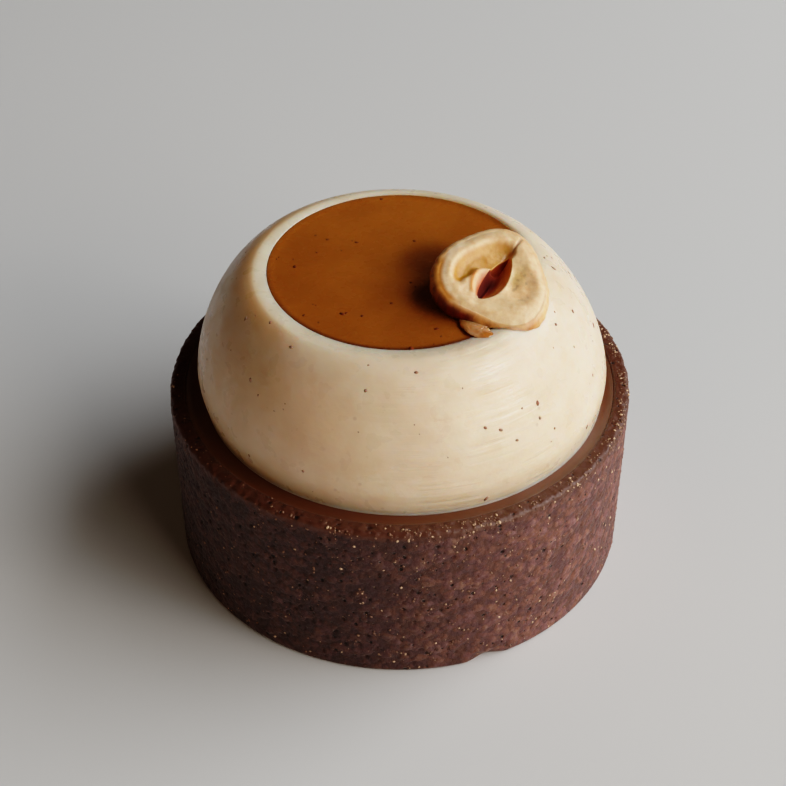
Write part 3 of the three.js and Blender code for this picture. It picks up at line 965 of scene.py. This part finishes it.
def cream_outline(sizes):
    foot, foot_level = sizes.cream_foot, sizes.filling_level
    points = [(0, foot_level), *line((0, foot_level), (foot + CREAM_FLARE, foot_level), FLAT_ROWS)]
    # The cream spreads a little where it meets the filling.
    for i in range(1, FLARE_ROWS + 1):
        left = (1 - i / FLARE_ROWS) ** 2
        points.append((foot - CREAM_FLARE + 2 * CREAM_FLARE * left,
                       foot_level + CREAM_FLARE_HEIGHT * i / FLARE_ROWS))
    flare_level = points[-1][1]
    for i in range(1, BULGE_ROWS + 1):
        share = i / BULGE_ROWS
        radius = foot + (sizes.cream_widest - foot) * math.sin(share * math.pi / 2)
        points.append((radius, flare_level + (CREAM_WIDEST_LEVEL - flare_level) * share))
    rise = sizes.cream_top - CREAM_WIDEST_LEVEL
    reach = sizes.cream_widest - sizes.cream_crest
    for i in range(1, SHOULDER_ROWS + 1):
        angle = i / SHOULDER_ROWS * math.pi / 2
        across = max(0.0, math.cos(angle)) ** (2 / CREAM_SHOULDER)
        up = math.sin(angle) ** (2 / CREAM_SHOULDER)
        points.append((sizes.cream_crest + reach * across, CREAM_WIDEST_LEVEL + rise * up))
    # From the lip's crest it bends down to where the caramel begins.
    crest = points[-1]
    edge = (sizes.caramel_radius, sizes.caramel_level + sizes.caramel_creep)
    bend = (crest[0] + (edge[0] - crest[0]) * LIP_BEND, sizes.cream_top - LIP_DROP)
    for i in range(1, LIP_ROWS + 1):
        t = i / LIP_ROWS
        corners = zip(crest, bend, edge)
        points.append(tuple((1 - t) ** 2 * a + 2 * t * (1 - t) * b + t * t * c for a, b, c in corners))
    return points + dish_outline(sizes, 0.0)


def caramel_outline(sizes):
    edge = sizes.caramel_radius - CARAMEL_INSIDE_LIP
    points = list(reversed(dish_outline(sizes, HIDDEN_GAP)))
    points += creep(edge, sizes.caramel_level, sizes.caramel_creep, CARAMEL_CURVE, steps=10)
    points += line(points[-1], (0, sizes.caramel_level), CARAMEL_ROWS)
    return points


def seat_level(sizes, x, y):
    """Level of the cream or caramel under a point."""
    radius = math.hypot(x - CREAM_TOP_CENTRE[0], y - CREAM_TOP_CENTRE[1])
    if radius < sizes.cream_crest:
        from_dish = math.hypot(x - DISH_CENTRE[0], y - DISH_CENTRE[1])
        share = smooth(from_dish, sizes.caramel_radius - 1 * MM, sizes.cream_crest)
        return sizes.caramel_level + (sizes.cream_top - sizes.caramel_level) * share
    across = (radius - sizes.cream_crest) / (sizes.cream_widest - sizes.cream_crest)
    if across > 1:
        return sizes.filling_level
    up = math.sin(math.acos(across ** (CREAM_SHOULDER / 2))) ** (2 / CREAM_SHOULDER)
    return CREAM_WIDEST_LEVEL + (sizes.cream_top - CREAM_WIDEST_LEVEL) * up


# ---------------------------------------------------------------- the hazelnut

NUT_CENTRE = Vector((9.53, -4.88, 36.8)) * MM
NUT_NORMAL = Vector((0.144, -0.31, 0.94)).normalized()
NUT_TIP = math.radians(60)  # where the kernel's tip points
NUT_WAVES = ((2, 0.029, -72), (3, 0.083, -51), (5, 0.018, 0))  # count, height and turn round the edge
NUT_GIRTH = 1.07  # share of the radius where the kernel is widest
NUT_GIRTH_DROP = 1.3 * MM
NUT_RIM = 0.94  # share of the radius where the cut face starts
NUT_RIM_ROLL = 0.3 * MM
NUT_ROLL_START = 0.72
NUT_GAP = 0.12 * MM
HOLLOW_LENGTH = 3.3 * MM
HOLLOW_LEFT = 0.9 * MM
HOLLOW_RIGHT = 1.45 * MM
HOLLOW_DEPTH = 1.8 * MM
KERNEL_LUMPS = 0.9 * MM
KERNEL_ROUGHNESS = 0.05 * MM
KERNEL_RIDGES = 26
RIDGE_HEIGHT = 0.025 * MM
FACE_LUMPS = ((1.3 * MM, 0.07 * MM), (0.5 * MM, 0.025 * MM))  # sizes and heights
NUT_COLUMNS = 190
UNDER_ROWS = 26
EDGE_ROWS = 12
FACE_ROWS = 42
WALL_ROWS = 22

# Depths in the cut face, in millimetres.
LEFT_DIP = 0.75
RIGHT_DIP = 0.36
BEVEL = 0.5
SEAM = 0.1
FOLD = 0.35
CREASE = 0.12
HOLLOW_BRINK = 0.25

# Where features start, are full, start to fade and end: along the hollow in millimetres, towards
# the kernel's tip, or round the face in degrees from the tip.
LIP_ALONG = (-3.3, -2.8, -0.8, 1.0)
SEAM_ALONG = (-3.2, -2.7, -0.9, 0.6)
FOLD_ALONG = (2.0, 2.8, 3.6, 4.5)
RIM_LIGHT_ROUND = (40, 90, 140, 170)
PEEL_ROUND = (90, 108, 153, 172)


def nut_radius(sizes, angle):
    waves = sum(height * math.cos(count * (angle - math.radians(turn))) for count, height, turn in NUT_WAVES)
    return sizes.nut_face * (1 + waves)


def nut_marks(sizes, place):
    """How much of each feature lies at a place on the cut face: x runs to the kernel's tip, y to the left."""
    along, across = place / MM
    direction = math.atan2(across, along)
    turn = math.degrees(direction)
    share = place.length / nut_radius(sizes, direction + NUT_TIP)
    # The lip is a bevel on the left of the hollow, with an orange seam along its outer edge.
    lip_edge = 0.8 + 0.85 * max(0.0, 1 - ((along + 0.7) / 2.2) ** 2)
    lip = smooth(lip_edge - across, -0.15, 0.45) * smooth(across, 0.0, 0.35) * band(along, *LIP_ALONG)
    dip_start = -0.2 + (lip_edge + 0.3) * (1 - smooth(along, -0.2, 1.7)) + 0.75 * smooth(-along, 0.9, 2.4)
    left_dip = smooth(across, dip_start, dip_start + 0.85) * (1 - smooth(share, 0.52, 0.8))
    from_right_dip = math.hypot((along - 0.9) / 3.2, (across + 2.9) / 2.7)
    right_dip = (1 - smooth(from_right_dip, 0.3, 1.0)) * smooth(-across, 0.3, 1.6)
    return SimpleNamespace(
        along=along,
        across=across,
        turn=turn,
        share=share,
        lip=lip,
        bevel=lip * smooth(lip_edge - across, 0.0, 0.9),
        seam=bump_shape(across - lip_edge - 0.15, 0.4) * band(along, *SEAM_ALONG),
        left_dip=left_dip * (1 - smooth(turn, 124, 146)),
        right_dip=right_dip * (1 - smooth(share, 0.6, 0.95)),
        fold=(1 - smooth(abs(across - 0.1), 0.1, 0.55)) * band(along, *FOLD_ALONG),
        crease=bump_shape(across - 0.08, 0.2) * smooth(along, 3.5, 4.3),
    )


def face_point(sizes, angle, step):
    """A point of the cut face: step 0 is its rounded edge, 1 the hollow's brink and 2 the hollow's bottom."""
    inward, down = min(1.0, step), max(0.0, step - 1)
    across = math.sin(angle)
    on_left = across > 0
    half_width, closing = HOLLOW_LEFT, 1 - down * down
    if not on_left:
        half_width, closing = HOLLOW_RIGHT * (1 - 0.2 * math.cos(angle)), 1 - down
    brink = Vector((HOLLOW_LENGTH * math.cos(angle) * (1 - down * down),
                    half_width * across * abs(across) ** 0.4 * closing))
    radius = nut_radius(sizes, angle + NUT_TIP) * NUT_RIM
    flat = Vector((radius * math.cos(angle), radius * math.sin(angle))).lerp(brink, inward)
    marks = nut_marks(sizes, flat)
    marks.inward, marks.down, marks.on_left = inward, down, on_left
    height = SEAM * marks.seam - LEFT_DIP * marks.left_dip - RIGHT_DIP * marks.right_dip - BEVEL * marks.bevel
    height -= (FOLD * marks.fold + CREASE * marks.crease) * (1 - down)
    height -= HOLLOW_BRINK * smooth(inward, 0.3, 1.0) + HOLLOW_DEPTH / MM * math.sin(down * math.pi / 2)
    rolled = max(0.0, (marks.share - NUT_ROLL_START) / (NUT_RIM - NUT_ROLL_START))
    height -= NUT_RIM_ROLL / MM * rolled**2
    flat.rotate(Matrix.Rotation(NUT_TIP, 2))
    point = Vector((flat.x, flat.y, height * MM))
    point.z += sum(noise.noise(point / size) * depth for size, depth in FACE_LUMPS)
    return point, marks


def kernel_point(sizes, angle, share, drop):
    """A point of the rounded underside, with its roughness and faint ridges."""
    radius = nut_radius(sizes, angle + NUT_TIP) * share
    point = Vector((radius * math.cos(angle + NUT_TIP), radius * math.sin(angle + NUT_TIP), -drop))
    rough = noise.noise(point / KERNEL_LUMPS) * KERNEL_ROUGHNESS
    wander = 3 * noise.noise(point / (2 * MM))
    ridges = RIDGE_HEIGHT * math.sin(KERNEL_RIDGES * angle + wander)
    return point * (1 + (rough + ridges) / point.length * smooth(share, 0.0, 0.3))


def laid_over(tint, colour_over, share):
    return tint.lerp(Vector(colour_over), share)


def kernel_tint(colours, turn, drop):
    """Colour of the underside at a drop below the cut face, how much skin lies there, and no depth."""
    below = smooth(-turn, 90, 125) + smooth(turn, 60, 105)
    skin = below * smooth(drop / MM, 0.12, 0.75)
    tan = 0.9 * smooth(drop / MM, -0.1, 0.6) * min(1.0, 0.25 + below)
    tan = max(tan, 0.95 * band(turn, *PEEL_ROUND))
    tint = laid_over(Vector(colours.nut_flesh), colours.nut_tan, tan)
    # Partly painted shade: the brown skin is darkened on its lower left as seen, where shade falls beside the
    # caramel.
    dark = (smooth(turn, 118, 158) + smooth(-turn, 165, 178)) * smooth(drop / MM, 0.15, 0.8)
    return laid_over(tint, colours.nut_skin_and_shade, min(1.0, dark)), min(1.0, skin), 0.0


def face_tint(colours, marks):
    """Colour of the cut face or the hollow, no skin, and how deep in the hollow it is."""
    # Painted light: the edge of the cut face is made paler on the left, away from the lights.
    pale = smooth(marks.share, 0.76, 0.88) * band(marks.turn, *RIM_LIGHT_ROUND)
    tint = laid_over(Vector(colours.nut_flesh), colours.nut_rim_light, 0.8 * pale)
    tint = laid_over(tint, colours.nut_tan, band(marks.turn, *PEEL_ROUND) * smooth(marks.share, 0.85, 0.93))
    golden = smooth(marks.left_dip, 0.04, 0.5) * (0.85 + 0.15 * smooth(marks.turn, 80, 120))
    tint = laid_over(tint, colours.nut_dip, golden)
    olive = (1 - smooth(-marks.across, 1.6, 3.2)) * smooth(marks.along, -0.5, 1.0)
    shallow = laid_over(Vector(colours.nut_shallow), colours.nut_olive, olive)
    tint = laid_over(tint, shallow, 0.85 * marks.right_dip)
    spots = smooth(noise.noise(Vector((marks.along, marks.across, 0.0)) * 1.9), 0.28, 0.5)
    tint = tint * (1 - 0.3 * spots * marks.right_dip)
    tint = laid_over(tint, colours.nut_seam, 0.8 * marks.seam)
    tint = laid_over(tint, colours.nut_lip, 0.9 * marks.lip * (0.3 + 0.7 * marks.bevel))
    if marks.on_left:
        tint = laid_over(tint, colours.nut_hollow, 0.8 * marks.lip * smooth(marks.inward, 0.87, 1.0))
    tint = laid_over(tint, colours.nut_fold, 0.95 * marks.fold)
    tint = laid_over(tint, colours.nut_crease, 0.85 * marks.crease)
    # Painted shade: deep in the hollow, the left wall and bottom are darkened; the maroon lining itself is
    # the kernel's own.
    if marks.on_left:
        deep = smooth(marks.down, 0.0, 0.12)
        hollow_shade = smooth(marks.down, 0.0, 0.15)
    else:
        # Painted light: the hollow's right wall glows as if lit through the thin flesh.
        tint = laid_over(tint, colours.nut_glow, smooth(marks.down, 0.0, 0.1))
        deep = smooth(marks.down, 0.36, 0.75)
        hollow_shade = smooth(marks.down, 0.55, 0.95)
    hollow_shade *= 1 - 0.8 * smooth(marks.along, 0.2, 2.2)
    inside = laid_over(Vector(colours.nut_hollow), colours.nut_hollow_shade, hollow_shade)
    return laid_over(tint, inside, deep), 0.0, deep


def nut_rings(sizes):
    """Each ring's share of the radius and drop below the face, or its step over the cut face."""
    rings = []
    for i in range(UNDER_ROWS + 1):
        angle = i / UNDER_ROWS * math.pi / 2
        drop = NUT_GIRTH_DROP + (sizes.nut_depth - NUT_GIRTH_DROP) * math.cos(angle)
        rings.append((NUT_GIRTH * math.sin(angle), drop, None))
    for i in range(1, EDGE_ROWS):
        angle = i / EDGE_ROWS * math.pi / 2
        drop = NUT_RIM_ROLL + (NUT_GIRTH_DROP - NUT_RIM_ROLL) * (1 - math.sin(angle))
        rings.append((NUT_RIM + (NUT_GIRTH - NUT_RIM) * math.cos(angle), drop, None))
    rings += [(None, None, i / FACE_ROWS) for i in range(FACE_ROWS + 1)]
    rings += [(None, None, 1 + i / WALL_ROWS) for i in range(1, WALL_ROWS + 1)]
    return rings


def joined(work, lower, upper):
    """Faces between two rings, one of which may be a single point."""
    for i in range(NUT_COLUMNS):
        j = (i + 1) % NUT_COLUMNS
        if len(lower) == 1:
            work.faces.new((lower[0], upper[j], upper[i]))
        elif len(upper) == 1:
            work.faces.new((lower[i], lower[j], upper[0]))
        else:
            work.faces.new((lower[i], lower[j], upper[j], upper[i]))


def nut_mesh(sizes, colours):
    """Rings of points from the underside, round the edge, over the cut face and down into the hollow."""
    tilt = Vector((0, 0, 1)).rotation_difference(NUT_NORMAL)
    work = bmesh.new()
    skin_layer = work.verts.layers.float.new("skin")
    deep_layer = work.verts.layers.float.new("deep")
    tint_layer = work.verts.layers.float_color.new("tint")
    rings = nut_rings(sizes)
    grid = []
    for number, (share, drop, step) in enumerate(rings):
        pole = number in (0, len(rings) - 1)
        row = []
        for column in range(1 if pole else NUT_COLUMNS):
            angle = column / NUT_COLUMNS * 2 * math.pi
            if step is None:
                point = kernel_point(sizes, angle, share, drop)
                turn = math.degrees(math.atan2(math.sin(angle), math.cos(angle)))
                tint, skin, deep = kernel_tint(colours, turn, drop)
            else:
                point, marks = face_point(sizes, angle, step)
                tint, skin, deep = face_tint(colours, marks)
            point = tilt @ point + NUT_CENTRE
            point.z = max(point.z, seat_level(sizes, point.x, point.y) + NUT_GAP)
            vertex = work.verts.new(point)
            vertex[skin_layer], vertex[deep_layer] = skin, deep
            vertex[tint_layer] = (*tint, 1.0)
            row.append(vertex)
        grid.append(row)
    for lower, upper in zip(grid, grid[1:]):
        joined(work, lower, upper)
    bmesh.ops.recalc_face_normals(work, faces=work.faces)
    mesh = bpy.data.meshes.new("hazelnut_half")
    work.to_mesh(mesh)
    work.free()
    return mesh


# ---------------------------------------------------------------- the stage

FLOOR_REACH = 1.5
LIGHTS_LOOK_AT = Vector((0, 0, 0.02))
LIGHTS = {
    "window": {
        "azimuth": 3, "elevation": 38, "distance": 0.80,
        "size": (0.98, 0.62), "power": 8.2, "tint": (0.95, 0.98, 1.0),
    },
    "window_low": {
        "azimuth": -40, "elevation": 14, "distance": 0.80,
        "size": (0.60, 0.58), "power": 4.3, "tint": (1.0, 0.90, 0.77),
    },
    "room": {
        "azimuth": -135, "elevation": 14, "distance": 0.70,
        "size": (0.60, 0.50), "power": 0.6, "tint": (1.0, 0.60, 0.28),
    },
}
CAMERA_PLACE = Vector((0.0, -138.975, 132.694)) * MM
CAMERA_AZIMUTH = -89.693
CAMERA_ELEVATION = 39.6947
CAMERA_LENS = 74.94
CAMERA_SENSOR = 36.0

# What a camera makes of light: deeper shadows, and highlights that round off. Each pair is an amount of
# light and how bright it shows.
RESPONSE_SCALE = 2.0
RESPONSE = ((0.02, 0.009), (0.05, 0.036), (0.12, 0.118), (0.45, 0.47), (0.80, 0.72), (1.20, 0.87))


def direction(azimuth, elevation):
    turn, rise = math.radians(azimuth), math.radians(elevation)
    return Vector((math.cos(rise) * math.cos(turn), math.cos(rise) * math.sin(turn), math.sin(rise)))


def aimed(name, data, place, away):
    """A lamp or a camera at a place, looking back along a direction."""
    made = bpy.data.objects.new(name, data)
    made.location = place
    made.rotation_mode = "QUATERNION"
    made.rotation_quaternion = away.to_track_quat("Z", "Y")
    bpy.context.scene.collection.objects.link(made)
    return made


def add_floor(scene):
    mesh = bpy.data.meshes.new("floor")
    corners = ((-1, -1), (1, -1), (1, 1), (-1, 1))
    mesh.from_pydata([(x * FLOOR_REACH, y * FLOOR_REACH, 0) for x, y in corners], [], [(0, 1, 2, 3)])
    mesh.materials.append(floor_material(scene.tartlet_colours))
    floor = bpy.data.objects.new("floor", mesh)
    scene.collection.objects.link(floor)


def add_light(name, azimuth, elevation, distance, size, power, tint):
    """A soft panel of light that looks at the tartlet from a direction in degrees."""
    lamp = bpy.data.lights.new(name, "AREA")
    lamp.shape = "RECTANGLE"
    lamp.size, lamp.size_y = size
    lamp.energy = power
    lamp.color = tint
    away = direction(azimuth, elevation)
    aimed(name, lamp, away * distance + LIGHTS_LOOK_AT, away)


def add_world(scene):
    """A dim room all round."""
    world = bpy.data.worlds.new("dim_room")
    world.use_nodes = True
    world.node_tree.nodes.clear()
    w = Wiring(world.node_tree)
    room = w.add("ShaderNodeBackground", {"Color": (1.0, 0.95, 0.9), "Strength": 0.015})
    w.add("ShaderNodeOutputWorld", {"Surface": room.outputs[0]})
    scene.world = world


def add_camera(scene):
    lens = bpy.data.cameras.new("camera")
    lens.sensor_width = CAMERA_SENSOR
    lens.lens = CAMERA_LENS
    lens.clip_start = 0.01
    lens.clip_end = 10.0
    scene.camera = aimed("camera", lens, CAMERA_PLACE, direction(CAMERA_AZIMUTH, CAMERA_ELEVATION))


def add_response(scene):
    """A gentle S-shaped tone curve."""
    view = scene.view_settings
    view.view_transform = "Standard"
    view.use_curve_mapping = True
    mapping = view.curve_mapping
    mapping.white_level = (RESPONSE_SCALE,) * 3
    for light, shown in RESPONSE:
        mapping.curves[3].points.new(light / RESPONSE_SCALE, shown)
    mapping.update()


# ---------------------------------------------------------------- operators

NICK_DIRECTION = math.radians(-68)
BEAD_PATH = ((6.5, -7.5), (6.8, -8.7), (7.1, -9.6), (7.5, -10.3), (8.0, -11.0), (8.6, -11.3), (9.3, -11.3))


class TARTLET_OT_crust(bpy.types.Operator):
    """Turn the crust and roughen its outside"""

    bl_idname = "tartlet.crust"
    bl_label = "Crust"

    def execute(self, context):
        sizes, colours = context.scene.tartlet_sizes, context.scene.tartlet_colours
        nick = Vector((math.cos(NICK_DIRECTION), math.sin(NICK_DIRECTION), 0.0)) * sizes.shell_radius
        piece = turned_piece("crust_shell", shell_outline(sizes), shell_tree(), {
            "Columns": sizes.crust_columns,
            "Inner radius": sizes.shell_radius - sizes.shell_wall,
            "Grain depth": sizes.grain_depth,
            "Pit depth": sizes.pit_depth,
            "Nick centre": nick,
            "Material": crust_material(sizes, colours),
        })
        hand_over(piece, "crust", "crust")
        return {"FINISHED"}


class TARTLET_OT_crumbs(bpy.types.Operator):
    """Scatter crumbs and sugar grains over the crust"""

    bl_idname = "tartlet.crumbs"
    bl_label = "Crumbs"

    def execute(self, context):
        sizes, colours = context.scene.tartlet_sizes, context.scene.tartlet_colours
        scattered("crust_crumbs", "crust_shell", "crust", crumb_material(colours), {
            "Bits per square metre": 0.75e6,
            "Heavier towards": (16.0, -16.0, 0.0),
            "Lowest": 0.5 * MM,
            "Highest": sizes.shell_height + 1 * MM,
            "Innermost": sizes.shell_radius - sizes.shell_wall + 0.3 * MM,
            "Rim level": sizes.shell_height - 0.6 * MM,
            "Extra on the rim": 1.0,
            "Clump size": 2.2 * MM,
            "Clumping": 0.85,
            "Smallest": 0.04 * MM,
            "Largest": 0.15 * MM,
            "Flatness": 0.6,
            "Length": 1.1,
            "Seed": 5,
        })
        scattered("rim_crumbs", "crust_shell", "crust", crumb_material(colours), {
            "Bits per square metre": 2.6e6,
            "Heavier towards": (75.0, -30.0, 0.0),
            "Lowest": sizes.shell_height - 0.9 * MM,
            "Highest": sizes.shell_height + 1 * MM,
            "Innermost": sizes.shell_radius - 1.1 * MM,
            "Clump size": 3 * MM,
            "Clumping": 1.0,
            "Smallest": 0.05 * MM,
            "Largest": 0.17 * MM,
            "Flatness": 0.7,
            "Length": 1.0,
            "Seed": 14,
        })
        return {"FINISHED"}


class TARTLET_OT_filling(bpy.types.Operator):
    """Fill the crust with soft chocolate"""

    bl_idname = "tartlet.filling"
    bl_label = "Filling"

    def execute(self, context):
        sizes, colours = context.scene.tartlet_sizes, context.scene.tartlet_colours
        piece = turned_piece("chocolate_filling", filling_outline(sizes), pool_tree(), {
            "Columns": sizes.smooth_columns,
            "Surface level": sizes.filling_level,
            "Material": filling_material(colours),
        })
        hand_over(piece, "filling", "filling")
        return {"FINISHED"}


class TARTLET_OT_cream(bpy.types.Operator):
    """Turn the cream dome, with the mould's marks on its side"""

    bl_idname = "tartlet.cream"
    bl_label = "Cream"

    def execute(self, context):
        sizes, colours = context.scene.tartlet_sizes, context.scene.tartlet_colours
        piece = turned_piece("cream_dome", cream_outline(sizes), dome_tree(), {
            "Columns": sizes.smooth_columns,
            "Foot centre": CREAM_FOOT_CENTRE,
            "Top centre": CREAM_TOP_CENTRE,
            "Dish centre": DISH_CENTRE,
            "Foot level": sizes.filling_level,
            "Top level": sizes.cream_top,
            "Dish foot": sizes.caramel_level - DISH_DEPTH - 1 * MM,
            "Crest radius": sizes.cream_crest,
            "Dish radius": sizes.caramel_radius,
            "Streak depth": sizes.streak_depth,
            "Material": cream_material(sizes, colours),
        })
        hand_over(piece, "cream", "cream")
        return {"FINISHED"}


class TARTLET_OT_caramel(bpy.types.Operator):
    """Pour the caramel into the dome's dish"""

    bl_idname = "tartlet.caramel"
    bl_label = "Caramel"

    def execute(self, context):
        sizes, colours = context.scene.tartlet_sizes, context.scene.tartlet_colours
        piece = turned_piece("caramel_pool", caramel_outline(sizes), pool_tree(), {
            "Columns": sizes.smooth_columns,
            "Centre": DISH_CENTRE,
            "Surface level": sizes.caramel_level,
            "Material": caramel_material(sizes, colours),
        })
        hand_over(piece, "caramel", "caramel")
        return {"FINISHED"}


class TARTLET_OT_flecks(bpy.types.Operator):
    """Scatter vanilla seeds over the cream and the caramel"""

    bl_idname = "tartlet.flecks"
    bl_label = "Vanilla flecks"

    def execute(self, context):
        sizes, colours = context.scene.tartlet_sizes, context.scene.tartlet_colours
        in_cream = fleck_material("cream_speck", colours.fleck, colours.fleck_red)
        scattered("vanilla_flecks", "cream_dome", "cream", in_cream, {
            "Bits per square metre": 0.06e6,
            "Lowest": sizes.filling_level + 0.8 * MM,
            "Highest": sizes.cream_top - 0.1 * MM,
            "Innermost": sizes.cream_crest,
            "Clumping": 0.6,
            "Clump size": 6 * MM,
            "Smallest": 0.07 * MM,
            "Largest": 0.24 * MM,
            "Flatness": 0.1,
            "Length": 1.1,
            "Seed": 21,
        })
        in_caramel = fleck_material("caramel_speck", colours.caramel_speck, colours.caramel_speck_red)
        scattered("caramel_flecks", "caramel_pool", "caramel", in_caramel, {
            "Bits per square metre": 0.09e6,
            "Heavier towards": (-50.0, -35.0, 0.0),
            "Lowest": sizes.caramel_level - 0.05 * MM,
            "Highest": sizes.caramel_level + 0.2 * MM,
            "Clumping": 0.7,
            "Clump size": 4 * MM,
            "Smallest": 0.08 * MM,
            "Largest": 0.27 * MM,
            "Flatness": 0.1,
            "Length": 1.2,
            "Seed": 8,
        })
        return {"FINISHED"}


class TARTLET_OT_hazelnut(bpy.types.Operator):
    """Set half a hazelnut on the dome's lip, and the bead of caramel that holds it"""

    bl_idname = "tartlet.hazelnut"
    bl_label = "Hazelnut"

    def execute(self, context):
        sizes, colours = context.scene.tartlet_sizes, context.scene.tartlet_colours
        piece = placed("hazelnut_half", nut_mesh(sizes, colours), nut_material())
        hand_over(piece, "hazelnut", "hazelnut")
        path = [Vector((x * MM, y * MM, seat_level(sizes, x * MM, y * MM))) for x, y in BEAD_PATH]
        bead = grown("glaze_bead", chain_mesh("bead_path", path), bead_tree(), {
            "Lies at": sizes.cream_top - 0.05 * MM,
            "Seed": 4,
            "Material": bead_material(colours),
        })
        hand_over(bead, "caramel")
        return {"FINISHED"}


class TARTLET_OT_stage(bpy.types.Operator):
    """Set the plain floor, the soft light and the camera"""

    bl_idname = "tartlet.stage"
    bl_label = "Stage"

    def execute(self, context):
        scene = context.scene
        add_floor(scene)
        for name, light in LIGHTS.items():
            add_light(name, **light)
        add_world(scene)
        add_camera(scene)
        add_response(scene)
        return {"FINISHED"}


class TARTLET_PT_panel(bpy.types.Panel):
    """Sizes, colours and pieces of the tartlet"""

    bl_idname = "TARTLET_PT_panel"
    bl_label = "Tartlet"
    bl_space_type = "VIEW_3D"
    bl_region_type = "UI"
    bl_category = "Tartlet"

    def draw(self, context):
        for group in (context.scene.tartlet_sizes, context.scene.tartlet_colours):
            box = self.layout.box()
            for name in group.__annotations__:
                box.prop(group, name)
        for operator in OPERATORS:
            self.layout.operator(operator.bl_idname)


OPERATORS = (
    TARTLET_OT_crust,
    TARTLET_OT_crumbs,
    TARTLET_OT_filling,
    TARTLET_OT_cream,
    TARTLET_OT_caramel,
    TARTLET_OT_flecks,
    TARTLET_OT_hazelnut,
    TARTLET_OT_stage,
)
CLASSES = (TartletSizes, TartletColours, *OPERATORS, TARTLET_PT_panel)


def register():
    for made in CLASSES:
        bpy.utils.register_class(made)
    bpy.types.Scene.tartlet_sizes = PointerProperty(type=TartletSizes)
    bpy.types.Scene.tartlet_colours = PointerProperty(type=TartletColours)


def unregister():
    del bpy.types.Scene.tartlet_colours
    del bpy.types.Scene.tartlet_sizes
    for made in reversed(CLASSES):
        bpy.utils.unregister_class(made)


def main():
    register()
    bpy.ops.tartlet.crust()
    bpy.ops.tartlet.crumbs()
    bpy.ops.tartlet.filling()
    bpy.ops.tartlet.cream()
    bpy.ops.tartlet.caramel()
    bpy.ops.tartlet.flecks()
    bpy.ops.tartlet.hazelnut()
    bpy.ops.tartlet.stage()


if __name__ == "__main__":
    main()
